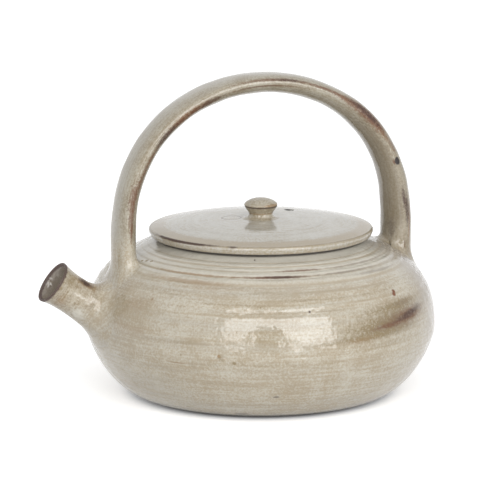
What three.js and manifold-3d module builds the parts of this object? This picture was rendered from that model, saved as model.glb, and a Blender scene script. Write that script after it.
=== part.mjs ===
// A ceramic teapot: a squat thrown pot with a short waisted spout, a fixed handle that
// arches over it from shoulder to shoulder, and a loose disc lid with a turned knob.
// Millimetres, +Z up. The origin is the middle of the flat base on the table, the spout
// points along -X, and the handle stands in the XZ plane.

import * as THREE from 'three';
import { mergeVertices } from 'three/addons/utils/BufferGeometryUtils.js';
import Module from 'manifold-3d';

const wasm = await Module();
wasm.setup();

// Pot, outside
const bellyRadius = 95;
const bellyHeight = 37.3;
const baseRadius = 64;
const shoulderHeight = 84;
const shoulderSlope = 18;
const undersideSlope = 3;

// How far each tangent of the outline reaches towards the next corner, from 0 to 1
const undersideReach = 0.55;
const lowerBellyReach = 0.27;
const upperBellyReach = 0.47;
const shoulderReach = 0.83;

// Pot, inside
const wall = 5;
const floorThickness = 6.5;
const mouthRadius = 50;
const collarWall = 6;
const collarRise = 1.8;
const collarDepth = 6.5;

// Spout: the root is where its axis meets the outside of the pot
const spoutRootHeight = 49.9;
const spoutLength = 30.4;
const spoutTilt = 35.5;
const spoutLipRadius = 11.7;
const spoutWaistRadius = 10.1;
const spoutWaistPlace = 12.1;
const spoutRootRadius = 15.1;
const spoutRootDepth = 15.4;
const spoutFlare = 2.2;
const spoutWall = 3;
const spoutLipWall = 1.5;
const wallHoleStep = 0.6;

// Strainer: a pierced dome behind the spout
const strainerRim = 6;
const strainerWall = 3;
const strainerHoleRadius = 1.6;
const strainerRows = [
  { holes: 1, lean: 0 },
  { holes: 6, lean: 27 },
  { holes: 11, lean: 52 },
];

// Handle: thickness is measured in the plane of the arch, width across it
const handleInset = 16.6;
const handleFootRise = 11.4;
const archRise = 84.8;
const archSideFullness = 1.98;
const archTopFullness = 2.45;
const topThickness = 10.3;
const topWidth = 25;
const spoutFootThickness = 12.4;
const spoutFootWidth = 23;
const rearFootThickness = 16.6;
const rearFootWidth = 25.6;
const footFlare = 4.5;
const footSink = 1.5;
const edgeSharpness = 0.3;

// Lid
const lidOverhang = 4.9;
const lidEdgeHeight = 4.7;
const lidEdgeRound = 1.3;
const lidRidgeInset = 2.6;
const lidDome = 5;
const lidThickness = 5.2;
const flangeWall = 4;
const flangeDepth = 9;
const ventRadius = 2.35;
const ventDistance = 31.6;
const ventTurn = 39.7;

// Knob
const knobHeight = 10.8;
const knobCapRadius = 8.95;
const knobCapPlace = 6;
const knobNeckRadius = 6.45;
const knobNeckPlace = 1.9;
const knobBaseRadius = 7.4;

// Clearances: `luting` is left between two pieces that the potter joins
const luting = 0.3;
const lidRest = 0.3;
const flangeClearance = 0.8;
const edgeBevel = 0.6;

// Facets
const potFacets = 56;
const spoutFacets = 28;
const knobFacets = 28;
const strainerFacets = 28;
const holeFacets = 8;
const outlineSteps = 8;
const spoutSteps = 9;
const domeSteps = 5;
const archSteps = 40;
const handleSides = 16;
const footSteps = 3;
const weldDistance = 1e-4;

// Sizes that follow from those above
const collarRadius = mouthRadius + collarWall;
const mouthHoleRadius = collarRadius + luting;
const lidSeat = shoulderHeight + collarRise + lidRest;
const lidRadius = collarRadius + lidOverhang;
const flangeRadius = mouthRadius - flangeClearance;
const handleReach = bellyRadius - handleInset;

const glaze = new THREE.MeshStandardMaterial({ color: '#b5ac99', roughness: 0.34, metalness: 0 });
const bareClay = new THREE.MeshStandardMaterial({ color: '#8c7a63', roughness: 0.75, metalness: 0 });

const radians = THREE.MathUtils.degToRad;

// Makes a closed geometry into a solid that can be joined and cut.
function solid(geometry) {
  geometry.deleteAttribute('normal');
  geometry.deleteAttribute('uv');
  const merged = mergeVertices(geometry, weldDistance);
  const corners = [];
  for (let i = 0; i < merged.index.count; i += 3) {
    const [a, b, c] = [0, 1, 2].map((step) => merged.index.getX(i + step));
    if (a !== b && b !== c && c !== a) corners.push(a, b, c);
  }
  return new wasm.Manifold(new wasm.Mesh({
    numProp: 3,
    vertProperties: merged.attributes.position.array,
    triVerts: new Uint32Array(corners),
  }));
}

// Turns a half outline of [radius, height] pairs about the upright axis. The outline runs
// up the outside and starts and ends on the axis, or ends where it starts.
function turned(outline, facets = potFacets) {
  const points = outline.map(([radius, height]) => new THREE.Vector2(radius, height));
  return new THREE.LatheGeometry(points, facets).rotateX(Math.PI / 2);
}

// Skins a row of rings, each with as many points, and closes both ends.
function lofted(rings) {
  const sides = rings[0].length;
  const last = (rings.length - 1) * sides;
  const faces = [];
  for (let start = 0; start < last; start += sides) {
    for (let side = 0; side < sides; side += 1) {
      const here = start + side;
      const next = start + (side + 1) % sides;
      faces.push(here, next, here + sides, next, next + sides, here + sides);
    }
  }
  for (let side = 1; side + 1 < sides; side += 1) {
    faces.push(0, side + 1, side);
    faces.push(last, last + side, last + side + 1);
  }
  const geometry = new THREE.BufferGeometry().setFromPoints(rings.flat());
  geometry.setIndex(faces);
  return geometry;
}

function piece(name, shape, material) {
  const { vertProperties, triVerts } = shape.getMesh();
  const geometry = new THREE.BufferGeometry();
  geometry.setAttribute('position', new THREE.BufferAttribute(vertProperties, 3));
  geometry.setIndex(new THREE.BufferAttribute(triVerts, 1));
  geometry.computeVertexNormals();
  const mesh = new THREE.Mesh(geometry, material);
  mesh.name = name;
  return mesh;
}

// Half outline of the pot's outside, from the base edge up to the mouth, moved outward by
// `offset`.
function potOutline(offset) {
  const base = new THREE.Vector2(baseRadius, 0);
  const belly = new THREE.Vector2(bellyRadius, bellyHeight);
  const mouth = new THREE.Vector2(mouthHoleRadius, shoulderHeight);
  const underside = undersideReach * (bellyRadius - baseRadius);
  const shoulder = shoulderReach * (bellyRadius - mouthHoleRadius);
  const lower = new THREE.CubicBezierCurve(
    base,
    new THREE.Vector2(
      base.x + underside * Math.cos(radians(undersideSlope)),
      underside * Math.sin(radians(undersideSlope)),
    ),
    new THREE.Vector2(belly.x, belly.y * (1 - lowerBellyReach)),
    belly,
  );
  const upper = new THREE.CubicBezierCurve(
    belly,
    new THREE.Vector2(belly.x, belly.y + upperBellyReach * (mouth.y - belly.y)),
    new THREE.Vector2(
      mouth.x + shoulder * Math.cos(radians(shoulderSlope)),
      mouth.y - shoulder * Math.sin(radians(shoulderSlope)),
    ),
    mouth,
  );
  const outline = [];
  for (const curve of [lower, upper]) {
    for (let step = 0; step <= outlineSteps; step += 1) {
      const at = curve.getPoint(step / outlineSteps);
      const along = curve.getTangent(step / outlineSteps);
      if (curve === lower || step > 0) {
        outline.push([at.x + offset * along.y, at.y - offset * along.x]);
      }
    }
  }
  return outline;
}

// Reads across an outline: the value in column `wanted` where column `given` has `value`.
function readOutline(outline, given, value, wanted) {
  for (let i = outline.length - 1; i > 0; i -= 1) {
    const [from, to] = [outline[i - 1], outline[i]];
    const share = (value - from[given]) / (to[given] - from[given]);
    if (share >= 0 && share <= 1) return THREE.MathUtils.lerp(from[wanted], to[wanted], share);
  }
  return outline.at(-1)[wanted];
}

const outside = potOutline(0);
const inside = potOutline(-wall);
const shoulderAt = (radius) => readOutline(outside, 0, radius, 1);
const radiusAt = (outline, height) => readOutline(outline, 1, height, 0);

// The whole space inside an outline, closed on the axis from `low` up to the mouth.
function filled(outline, low) {
  const above = outline.filter(([, height]) => height > low);
  const edge = above.length < outline.length ? [[radiusAt(outline, low), low]] : [];
  return solid(turned([[0, low], ...edge, ...above, [0, outline.at(-1)[1]]]));
}

// The pot grown by a joint's thickness: what is cut off everything that is luted onto it.
function potEnvelope() {
  return filled(potOutline(luting), -luting);
}

function potBody() {
  const cavity = filled(inside, floorThickness);
  const mouth = solid(turned([
    [0, floorThickness],
    [mouthHoleRadius, floorThickness],
    [mouthHoleRadius, shoulderHeight + wall],
    [0, shoulderHeight + wall],
  ]));
  const skin = filled(outside, 0);
  return skin.subtract(cavity).subtract(mouth).subtract(spoutWallHole());
}

function mouthCollar() {
  const top = shoulderHeight + collarRise;
  const bottom = shoulderHeight - collarDepth;
  return solid(turned([
    [mouthRadius, bottom],
    [collarRadius, bottom],
    [collarRadius, top - edgeBevel],
    [collarRadius - edgeBevel, top],
    [mouthRadius + edgeBevel, top],
    [mouthRadius, top - edgeBevel],
    [mouthRadius, bottom],
  ]));
}

// Spout axis: along it, distance runs inward from the middle of the mouth
const spoutOut = new THREE.Vector3(-Math.cos(radians(spoutTilt)), 0, Math.sin(radians(spoutTilt)));
const spoutRoot = new THREE.Vector3(-radiusAt(outside, spoutRootHeight), 0, spoutRootHeight);
const spoutMouth = spoutRoot.clone().addScaledVector(spoutOut, spoutLength);

function spoutRadius(distance) {
  if (distance < spoutWaistPlace) {
    const share = 1 - distance / spoutWaistPlace;
    return spoutWaistRadius + (spoutLipRadius - spoutWaistRadius) * share ** 2;
  }
  const share = (distance - spoutWaistPlace) / (spoutLength + spoutRootDepth - spoutWaistPlace);
  return spoutWaistRadius + (spoutRootRadius - spoutWaistRadius) * share ** spoutFlare;
}

function spoutBore(distance) {
  const share = Math.min(distance / spoutWaistPlace, 1);
  return spoutRadius(distance) - THREE.MathUtils.lerp(spoutLipWall, spoutWall, share);
}

// Places a geometry turned about +Z on the spout's axis, with its top at the mouth.
function onSpoutAxis(geometry) {
  const tip = radians(90 - spoutTilt);
  return geometry.rotateY(-tip).translate(spoutMouth.x, spoutMouth.y, spoutMouth.z);
}

function spout() {
  const depth = spoutLength + spoutRootDepth;
  const skin = [];
  const bore = [];
  for (let step = 0; step <= spoutSteps; step += 1) {
    const distance = depth * (step / spoutSteps);
    skin.unshift([spoutRadius(distance), -distance]);
    bore.push([spoutBore(distance), -distance]);
  }
  const outline = [...skin, ...bore, skin[0]];
  return solid(onSpoutAxis(turned(outline, spoutFacets))).subtract(potEnvelope());
}

// The hole in the pot's wall behind the spout, a step narrower than the spout's bore.
const wallHoleRadius = spoutBore(spoutLength) - wallHoleStep;

function spoutWallHole() {
  const start = -spoutLength / 2;
  const end = -spoutLength - 3 * wall;
  return solid(onSpoutAxis(turned([
    [0, end],
    [wallHoleRadius, end],
    [wallHoleRadius, start],
    [0, start],
  ], spoutFacets)));
}

// Inner end of the hole, where the strainer sits
const wallInward = wall / Math.cos(radians(spoutTilt));
const strainerMiddle = spoutRoot.clone().addScaledVector(spoutOut, -wallInward);

function strainer() {
  const dome = wallHoleRadius + strainerRim;
  const ball = (radius) => solid(
    new THREE.SphereGeometry(radius, strainerFacets, strainerFacets / 2)
      .translate(strainerMiddle.x, 0, strainerMiddle.z),
  );
  const cavity = filled(potOutline(-wall - luting), floorThickness);
  let shape = ball(dome).subtract(ball(dome - strainerWall)).intersect(cavity);
  for (const { holes, lean } of strainerRows) {
    for (let i = 0; i < holes; i += 1) {
      const hole = new THREE.CylinderGeometry(
        strainerHoleRadius,
        strainerHoleRadius,
        dome + strainerWall,
        holeFacets,
      );
      hole.translate(0, (dome + strainerWall) / 2, 0);
      hole.rotateZ(-radians(90 - lean));
      hole.rotateX((i / holes) * 2 * Math.PI);
      hole.translate(strainerMiddle.x, 0, strainerMiddle.z);
      shape = shape.subtract(solid(hole));
    }
  }
  return shape;
}

// Centre line of the arch, from the springing over the spout to the one behind
const springHeight = shoulderAt(handleReach) + handleFootRise;

class ArchLine extends THREE.Curve {
  getPoint(share) {
    const turn = share * Math.PI;
    const across = Math.sign(Math.cos(turn)) * Math.abs(Math.cos(turn)) ** (2 / archSideFullness);
    const up = Math.abs(Math.sin(turn)) ** (2 / archTopFullness);
    return new THREE.Vector3(-handleReach * across, 0, springHeight + archRise * up);
  }
}

// A size along the handle that has given values at the spout side, the top and the rear.
function alongHandle(share, spoutSide, top, rear) {
  const straight = THREE.MathUtils.lerp(spoutSide, rear, share);
  return straight + (top - (spoutSide + rear) / 2) * Math.sin(Math.PI * share);
}

// Section of the handle: an oval with a soft edge at the front and at the back.
function handleSection(centre, along, thickness, width) {
  const outward = new THREE.Vector3(0, 1, 0).cross(along).normalize();
  const ring = [];
  for (let side = 0; side < handleSides; side += 1) {
    const turn = (side / handleSides) * 2 * Math.PI;
    const flat = Math.cos(turn) * Math.abs(Math.cos(turn)) ** edgeSharpness;
    const point = centre.clone().addScaledVector(outward, flat * thickness / 2);
    point.y += Math.sin(turn) * width / 2;
    ring.push(point);
  }
  return ring;
}

// The rings that flare from the springing section onto the shoulder, ending just below it.
function footRings(section) {
  const middle = section.reduce((sum, point) => sum.add(point), new THREE.Vector3());
  middle.divideScalar(section.length);
  const onShoulder = (point) => shoulderAt(Math.hypot(point.x, point.y)) - footSink;
  const rings = [];
  for (let step = 1; step <= footSteps; step += 1) {
    rings.push(section.map((point) => {
      const below = new THREE.Vector3(point.x, point.y, onShoulder(point));
      const spread = point.clone().sub(middle).setLength(footFlare).setZ(0);
      const landing = point.clone().add(spread);
      landing.z = onShoulder(landing);
      return new THREE.QuadraticBezierCurve3(point, below, landing).getPoint(step / footSteps);
    }));
  }
  const buried = rings.at(-1).map((point) => point.clone().setZ(point.z - wall));
  return [...rings, buried];
}

function handle() {
  const arch = new ArchLine();
  const rings = [];
  for (let step = 0; step <= archSteps; step += 1) {
    const share = step / archSteps;
    rings.push(handleSection(
      arch.getPointAt(share),
      arch.getTangentAt(share),
      alongHandle(share, spoutFootThickness, topThickness, rearFootThickness),
      alongHandle(share, spoutFootWidth, topWidth, rearFootWidth),
    ));
  }
  const front = footRings(rings[0]).reverse();
  const rear = footRings(rings.at(-1));
  return solid(lofted([...front, ...rings, ...rear])).subtract(potEnvelope());
}

// Height of the lid's top above its seat
function lidTopAt(radius) {
  const share = radius / (lidRadius - lidRidgeInset);
  return lidEdgeHeight + lidDome * (1 - share ** 2);
}

function lidPlate() {
  const hollowRadius = flangeRadius - flangeWall;
  const top = [];
  const hollow = [];
  for (let step = 0; step <= domeSteps; step += 1) {
    const share = step / domeSteps;
    const topRadius = share * (lidRadius - lidRidgeInset);
    const underRadius = share * (hollowRadius - lidEdgeRound);
    top.unshift([topRadius, lidTopAt(topRadius)]);
    hollow.push([underRadius, lidTopAt(underRadius) - lidThickness]);
  }
  const plate = solid(turned([
    ...hollow,
    [hollowRadius, 0],
    [lidRadius - lidEdgeRound, 0],
    [lidRadius, lidEdgeRound],
    [lidRadius, lidEdgeHeight / 2],
    [lidRadius - lidRidgeInset / 3, lidEdgeHeight - lidEdgeRound / 2],
    ...top,
  ]));
  const vent = new THREE.CylinderGeometry(ventRadius, ventRadius, 4 * lidThickness, 2 * holeFacets);
  vent.rotateX(Math.PI / 2);
  vent.translate(
    ventDistance * Math.cos(radians(ventTurn)),
    ventDistance * Math.sin(radians(ventTurn)),
    0,
  );
  return plate.subtract(solid(vent));
}

function lidFlange() {
  const inner = flangeRadius - flangeWall;
  return solid(turned([
    [inner, -flangeDepth],
    [flangeRadius - edgeBevel, -flangeDepth],
    [flangeRadius, -flangeDepth + edgeBevel],
    [flangeRadius, -luting],
    [inner, -luting],
    [inner, -flangeDepth],
  ]));
}

function lidKnob() {
  const capRise = knobHeight - knobCapPlace;
  const profile = [
    [0, 0],
    [knobBaseRadius - edgeBevel, 0],
    [knobBaseRadius, edgeBevel],
    [knobNeckRadius, knobNeckPlace],
    [(knobNeckRadius + knobCapRadius) / 2, (knobNeckPlace + knobCapPlace) / 2],
  ];
  for (let step = 0; step <= domeSteps; step += 1) {
    const turn = (step / domeSteps) * (Math.PI / 2);
    profile.push([
      knobCapRadius * Math.cos(turn) ** (2 / 3),
      knobCapPlace + capRise * Math.sin(turn),
    ]);
  }
  profile[profile.length - 1][0] = 0;
  return solid(turned(profile, knobFacets).translate(0, 0, lidTopAt(0) + luting));
}

const pot = new THREE.Group();
pot.add(
  piece('pot_body', potBody(), glaze),
  piece('mouth_collar', mouthCollar(), glaze),
  piece('spout', spout(), glaze),
  piece('spout_strainer', strainer(), bareClay),
  piece('handle', handle(), glaze),
);

const lid = new THREE.Group();
lid.position.z = lidSeat;
lid.add(
  piece('lid_plate', lidPlate(), glaze),
  piece('lid_flange', lidFlange(), glaze),
  piece('lid_knob', lidKnob(), glaze),
);

const teapot = new THREE.Group();
teapot.add(pot, lid);

export default teapot;
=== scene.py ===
# The glaze, the throwing marks and the fine shapes of a ceramic teapot, built in metres
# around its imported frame.

import math
from collections import namedtuple

import bmesh
import bpy
import numpy as np
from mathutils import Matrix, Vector, noise
from mathutils.bvhtree import BVHTree


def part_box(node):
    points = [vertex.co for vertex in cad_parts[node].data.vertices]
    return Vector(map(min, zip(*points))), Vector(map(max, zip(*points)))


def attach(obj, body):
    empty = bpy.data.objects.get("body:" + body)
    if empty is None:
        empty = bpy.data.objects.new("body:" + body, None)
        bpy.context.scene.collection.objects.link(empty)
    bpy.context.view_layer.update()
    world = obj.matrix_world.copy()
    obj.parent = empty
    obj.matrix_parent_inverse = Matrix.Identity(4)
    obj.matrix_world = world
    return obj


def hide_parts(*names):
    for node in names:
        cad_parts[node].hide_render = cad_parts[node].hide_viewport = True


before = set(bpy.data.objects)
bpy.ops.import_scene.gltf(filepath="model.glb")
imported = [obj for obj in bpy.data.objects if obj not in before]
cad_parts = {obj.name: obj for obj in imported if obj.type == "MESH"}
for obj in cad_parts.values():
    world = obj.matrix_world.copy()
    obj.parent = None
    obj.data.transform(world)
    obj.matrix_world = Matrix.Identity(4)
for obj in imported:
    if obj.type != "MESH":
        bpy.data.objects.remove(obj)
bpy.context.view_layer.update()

# Sizes read from the frame
pot_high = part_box("pot_body")[1]
collar_low, collar_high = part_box("mouth_collar")
plate_low, plate_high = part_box("lid_plate")
flange_low, flange_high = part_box("lid_flange")
handle_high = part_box("handle")[1]

BELLY_RADIUS = pot_high.y
SHOULDER_HEIGHT = pot_high.z
COLLAR_RADIUS = collar_high.y
LID_RADIUS = plate_high.y
LID_SEAT = plate_low.z
FLANGE_RADIUS = flange_high.y
ARCH_TOP = handle_high.z

# Pot, outside: the outline is two curves that meet at the widest ring
BELLY_HEIGHT = 0.0373
BASE_RADIUS = 0.064
SHOULDER_SLOPE = math.radians(18)
UNDERSIDE_SLOPE = math.radians(3)
UNDERSIDE_REACH = 0.55
LOWER_BELLY_REACH = 0.27
UPPER_BELLY_REACH = 0.47
SHOULDER_REACH = 0.83
FOOT_RING_WIDTH = 0.0035
FOOT_RING_DEPTH = 0.0007
BASE_EDGE = 0.0006

# Pot, inside
WALL = 0.005
FLOOR_THICKNESS = 0.0065
LUTING = 0.0003
MOUTH_RADIUS = 0.050
COLLAR_TOP_RADIUS = 0.0566
COLLAR_FOOT_RADIUS = 0.0618
RING_SOFT = 0.0009

# Spout: its root is where its axis meets the outside of the pot
SPOUT_ROOT_HEIGHT = 0.0503
SPOUT_LENGTH = 0.0302
SPOUT_TILT = math.radians(35.5)
SPOUT_LIP_RADIUS = 0.0120
SPOUT_WAIST_RADIUS = 0.0105
SPOUT_WAIST_PLACE = 0.0121
SPOUT_ROOT_RADIUS = 0.0151
SPOUT_ROOT_DEPTH = 0.0154
SPOUT_FLARE = 2.2
SPOUT_WALL = 0.003
SPOUT_LIP_WALL = 0.0015
SPOUT_FILLET = 0.0112
SPOUT_WOBBLE = 0.012
LIP_DEPTH = 0.004
WALL_HOLE_STEP = 0.0006

# Strainer
STRAINER_RIM = 0.006
STRAINER_WALL = 0.003
STRAINER_HOLE_RADIUS = 0.0016
STRAINER_ROWS = ((1, 0), (6, 27), (11, 52))

# Handle: thickness is measured in the plane of the arch, width across it, each at the
# spout side, the top and the rear
HANDLE_FRONT_INSET = 0.0166
HANDLE_REAR_INSET = 0.0158
ARCH_RISE = 0.0848
ARCH_SIDE_FULLNESS = 1.98
ARCH_TOP_FULLNESS = 2.45
HANDLE_THICKNESS = (0.0124, 0.0107, 0.0156)
HANDLE_WIDTH = (0.023, 0.025, 0.0256)
HANDLE_FILLET = 0.0075
HANDLE_OUTER_FILLET = 0.0095
EDGE_SHARPNESS = 0.06
EDGE_SHIFT = 0.0014
HANDLE_LUMPS = 0.0004
COARSE = 45
FINE = 110
FOOT_DROP = 0.05

# Lid
LID_EDGE_HEIGHT = 0.0044
LID_RIDGE_INSET = 0.0013
LID_DOME = 0.0046
LID_DOME_FLATNESS = 3.0
LID_THICKNESS = 0.0050
FLANGE_WALL = 0.004
VENT_RADIUS = 0.00235
VENT_DISTANCE = 0.0316
VENT_TURN = math.radians(39.7)
VENT = Vector((math.cos(VENT_TURN), math.sin(VENT_TURN), 0)) * VENT_DISTANCE
VENT_SOFTNESS = 0.0014
VENT_DIP = 0.0001
VENT_SHIFT = 0.0008
LID_DIMPLE_PLACE = (-0.0146, 0.0064)
LID_DIMPLE_RADIUS = 0.0052
LID_DIMPLE_DEPTH = 0.00012
LID_DIMPLE_SOFTNESS = 0.0009

# Knob, measured up from the middle of the lid
KNOB_HEIGHT = 0.0111
KNOB_CAP_RADIUS = 0.0092
KNOB_ARRIS_PLACE = 0.0070
KNOB_NECK_RADIUS = 0.00645
KNOB_NECK_PLACE = 0.0026
KNOB_SKIRT_RADIUS = 0.0102

# Facets
POT_FACETS = 256
LID_FACETS = 224
KNOB_FACETS = 96
SPOUT_SIDES = 96
HANDLE_SIDES = 72
ARCH_STEPS = 200
BELLY_ROWS = 145
GROOVE_ROWS = 125
INSIDE_ROWS = 90
SPOUT_ROWS = 60
BORE_ROWS = 14
FILLET_ROWS = 14
LID_ROWS = 110

# How far a skirt dips below the surface that it lands on, and how full its fillet is
TUCK = 0.0012
FILLET_ROUNDNESS = 0.62
WELD = 2e-6

# Throwing rings of the turned pieces: spacing, depth and unevenness
POT_RINGS = (0.0021, 0.0006, 0.0012)
LID_RINGS = (0.0018, 0.00016, 0.0009)
KNOB_RINGS = (0.0012, 0.0002, 0.0004)
PLAIN_RINGS = (0.0015, 0.0002, 0.0003)
NO_RINGS = (1, 0, 0)
RING_LENGTH = 0.55
LUMP_SIZE = 0.035

# How far the rings show at heights of the pot and at radii of the lid
POT_RELIEF = ((0.0, 0.0), (0.005, 0.3), (0.05, 0.3), (0.066, 0.9), (0.080, 1.0), (0.0838, 0.0))
LID_RELIEF = ((0.008, 0.2), (0.014, 0.8), (0.055, 1.0), (LID_RADIUS - LID_RIDGE_INSET, 0.5))
PLAIN_RELIEF = 0.3

# Glaze
GRAIN_SIZE = 0.0012
SPECK_SHARE = 0.3
PEEL_DEPTH = 0.00006
IRON_ROUGHNESS = 0.5


# Small tools for meshes

def keep(name, mesh):
    """A new object for a mesh, linked into the scene."""
    made = bpy.data.objects.new(name, mesh)
    bpy.context.scene.collection.objects.link(made)
    return made


def rows_of(points):
    """Points as rows of numbers."""
    return np.array([tuple(point) for point in points], float)


def plain_mesh(points, edges=(), faces=()):
    """A mesh of points, with edges or faces between them."""
    mesh = bpy.data.meshes.new("shape")
    mesh.from_pydata([tuple(point) for point in points], edges, faces)
    return mesh


def mesh_of(points, faces):
    """A closed mesh with its doubles merged and its faces turned outward."""
    mesh = plain_mesh(points, faces=faces)
    work = bmesh.new()
    work.from_mesh(mesh)
    bmesh.ops.remove_doubles(work, verts=work.verts, dist=WELD)
    bmesh.ops.recalc_face_normals(work, faces=work.faces)
    work.to_mesh(mesh)
    work.free()
    return mesh


def store(mesh, label, kind, values):
    """Keeps a value of each point of a mesh under a name that finishes can read."""
    layer = mesh.attributes.new(label, kind, "POINT")
    field = "vector" if kind == "FLOAT_VECTOR" else "value"
    layer.data.foreach_set(field, np.asarray(values, np.float32).ravel())


def skinned(rings, capped):
    """Faces between rings of points. The ends are capped, or the last ring meets the first."""
    count, sides = rings.shape[:2]
    rows = count - 1 if capped else count
    faces = []
    for row in range(rows):
        below = row * sides
        above = (row + 1) % count * sides
        for side in range(sides):
            after = (side + 1) % sides
            faces.append((below + side, below + after, above + after, above + side))
    if capped:
        faces.append(tuple(range(sides - 1, -1, -1)))
        faces.append(tuple((count - 1) * sides + side for side in range(sides)))
    return faces


def finished(piece, material, body, node, crease=48):
    """Gives a piece its finish and says what it is in the frame."""
    piece.data.materials.clear()
    piece.data.materials.append(material)
    piece.data.shade_smooth()
    piece.data.set_sharp_from_angle(angle=math.radians(crease))
    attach(piece, body)
    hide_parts(node)
    return piece


def evaluated(source, name):
    """The result of an object's modifiers as a plain piece. The source is deleted."""
    depsgraph = bpy.context.evaluated_depsgraph_get()
    mesh = bpy.data.meshes.new_from_object(source.evaluated_get(depsgraph))
    bpy.data.objects.remove(source)
    return keep(name, mesh)


def cut(piece, cutter):
    """Cuts one closed shape out of a piece."""
    name = piece.name
    change = piece.modifiers.new("cut", "BOOLEAN")
    change.operation = "DIFFERENCE"
    change.solver = "EXACT"
    change.object = cutter
    piece.name = name + "_uncut"
    made = evaluated(piece, name)
    bpy.data.objects.remove(cutter)
    return made


def spoke(angle):
    """The level direction at an angle about the upright axis."""
    return Vector((math.cos(angle), math.sin(angle), 0))


def rod(radius, start, end, sides):
    """A plain round cutter between two points."""
    turn = (end - start).to_track_quat("Z", "Y")
    spokes = [turn @ spoke(side / sides * math.tau) * radius for side in range(sides)]
    rings = np.array([[middle + way for way in spokes] for middle in (start, end)])
    return keep("cutter", mesh_of(rings.reshape(-1, 3), skinned(rings, capped=True)))


# Outlines, as rows of (radius, height)

def bezier(corners, steps):
    """Points of a cubic curve through its first and last corner."""
    share = np.linspace(0, 1, steps + 1)[:, None]
    rest = 1 - share
    start, first, second, end = (np.array(corner, float) for corner in corners)
    return (
        rest**3 * start
        + 3 * rest**2 * share * first
        + 3 * rest * share**2 * second
        + share**3 * end
    )


def slopes(points):
    """Unit directions along a row of points."""
    ahead = np.gradient(points, axis=0)
    return ahead / np.linalg.norm(ahead, axis=1)[:, None]


def way_along(points):
    """How far along its line each point is."""
    steps = np.linalg.norm(np.diff(points, axis=0), axis=1)
    return np.concatenate([[0], np.cumsum(steps)])


def evenly(points, count):
    """The same line with its points spread evenly along it."""
    run = way_along(points)
    wanted = np.linspace(0, run[-1], count)
    return np.stack([np.interp(wanted, run, column) for column in points.T], axis=1)


def pot_outline(offset, count):
    """The pot's outside from the base edge to the mouth, moved outward by an offset."""
    mouth = COLLAR_RADIUS + LUTING
    underside = UNDERSIDE_REACH * (BELLY_RADIUS - BASE_RADIUS)
    shoulder = SHOULDER_REACH * (BELLY_RADIUS - mouth)
    fine = 400
    lower = bezier((
        (BASE_RADIUS, 0),
        (
            BASE_RADIUS + underside * math.cos(UNDERSIDE_SLOPE),
            underside * math.sin(UNDERSIDE_SLOPE),
        ),
        (BELLY_RADIUS, BELLY_HEIGHT * (1 - LOWER_BELLY_REACH)),
        (BELLY_RADIUS, BELLY_HEIGHT),
    ), fine)
    upper = bezier((
        (BELLY_RADIUS, BELLY_HEIGHT),
        (BELLY_RADIUS, BELLY_HEIGHT + UPPER_BELLY_REACH * (SHOULDER_HEIGHT - BELLY_HEIGHT)),
        (
            mouth + shoulder * math.cos(SHOULDER_SLOPE),
            SHOULDER_HEIGHT - shoulder * math.sin(SHOULDER_SLOPE),
        ),
        (mouth, SHOULDER_HEIGHT),
    ), fine)
    line = np.concatenate([lower, upper[1:]])
    ahead = slopes(line)
    outward = np.stack([ahead[:, 1], -ahead[:, 0]], axis=1)
    return evenly(line + offset * outward, count)


OUTSIDE = pot_outline(0, 800)


def wall_radius(height):
    """Outside radius of the pot at a height."""
    return float(np.interp(height, OUTSIDE[:, 1], OUTSIDE[:, 0]))


def shoulder_height(radius):
    """Height of the shoulder at a radius."""
    upper = OUTSIDE[OUTSIDE[:, 1] > BELLY_HEIGHT]
    return float(np.interp(radius, upper[::-1, 0], upper[::-1, 1]))


# Throwing grooves round the shoulder: height, depth and width of each
GROOVED_FROM = 0.064
GROOVES = (
    (0.0821, 0.00016, 0.0005),
    (0.0806, 0.00024, 0.0006),
    (0.0789, 0.00036, 0.0007),
    (0.0766, 0.00050, 0.0008),
    (0.0734, 0.00042, 0.0012),
    (0.0706, 0.00022, 0.0011),
    (0.0668, 0.00018, 0.0014),
    (0.0612, 0.00016, 0.0016),
)


def grooved(line):
    """Presses the throwing grooves into an outline."""
    depth = np.zeros(len(line))
    for height, deep, wide in GROOVES:
        depth += deep * np.exp(-(((line[:, 1] - height) / wide) ** 2))
    ahead = slopes(line)
    inward = np.stack([-ahead[:, 1], ahead[:, 0]], axis=1)
    return line + depth[:, None] * inward


def rounded(corner, before, after, radius, steps):
    """An arc-like bend that stands for a sharp corner of an outline."""
    corner, before, after = (np.array(point, float) for point in (corner, before, after))
    start = corner + (before - corner) / np.linalg.norm(before - corner) * radius
    end = corner + (after - corner) / np.linalg.norm(after - corner) * radius
    return bezier((start, (start + 2 * corner) / 3, (end + 2 * corner) / 3, end), steps)


# The tree that turns an outline on the wheel

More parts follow.
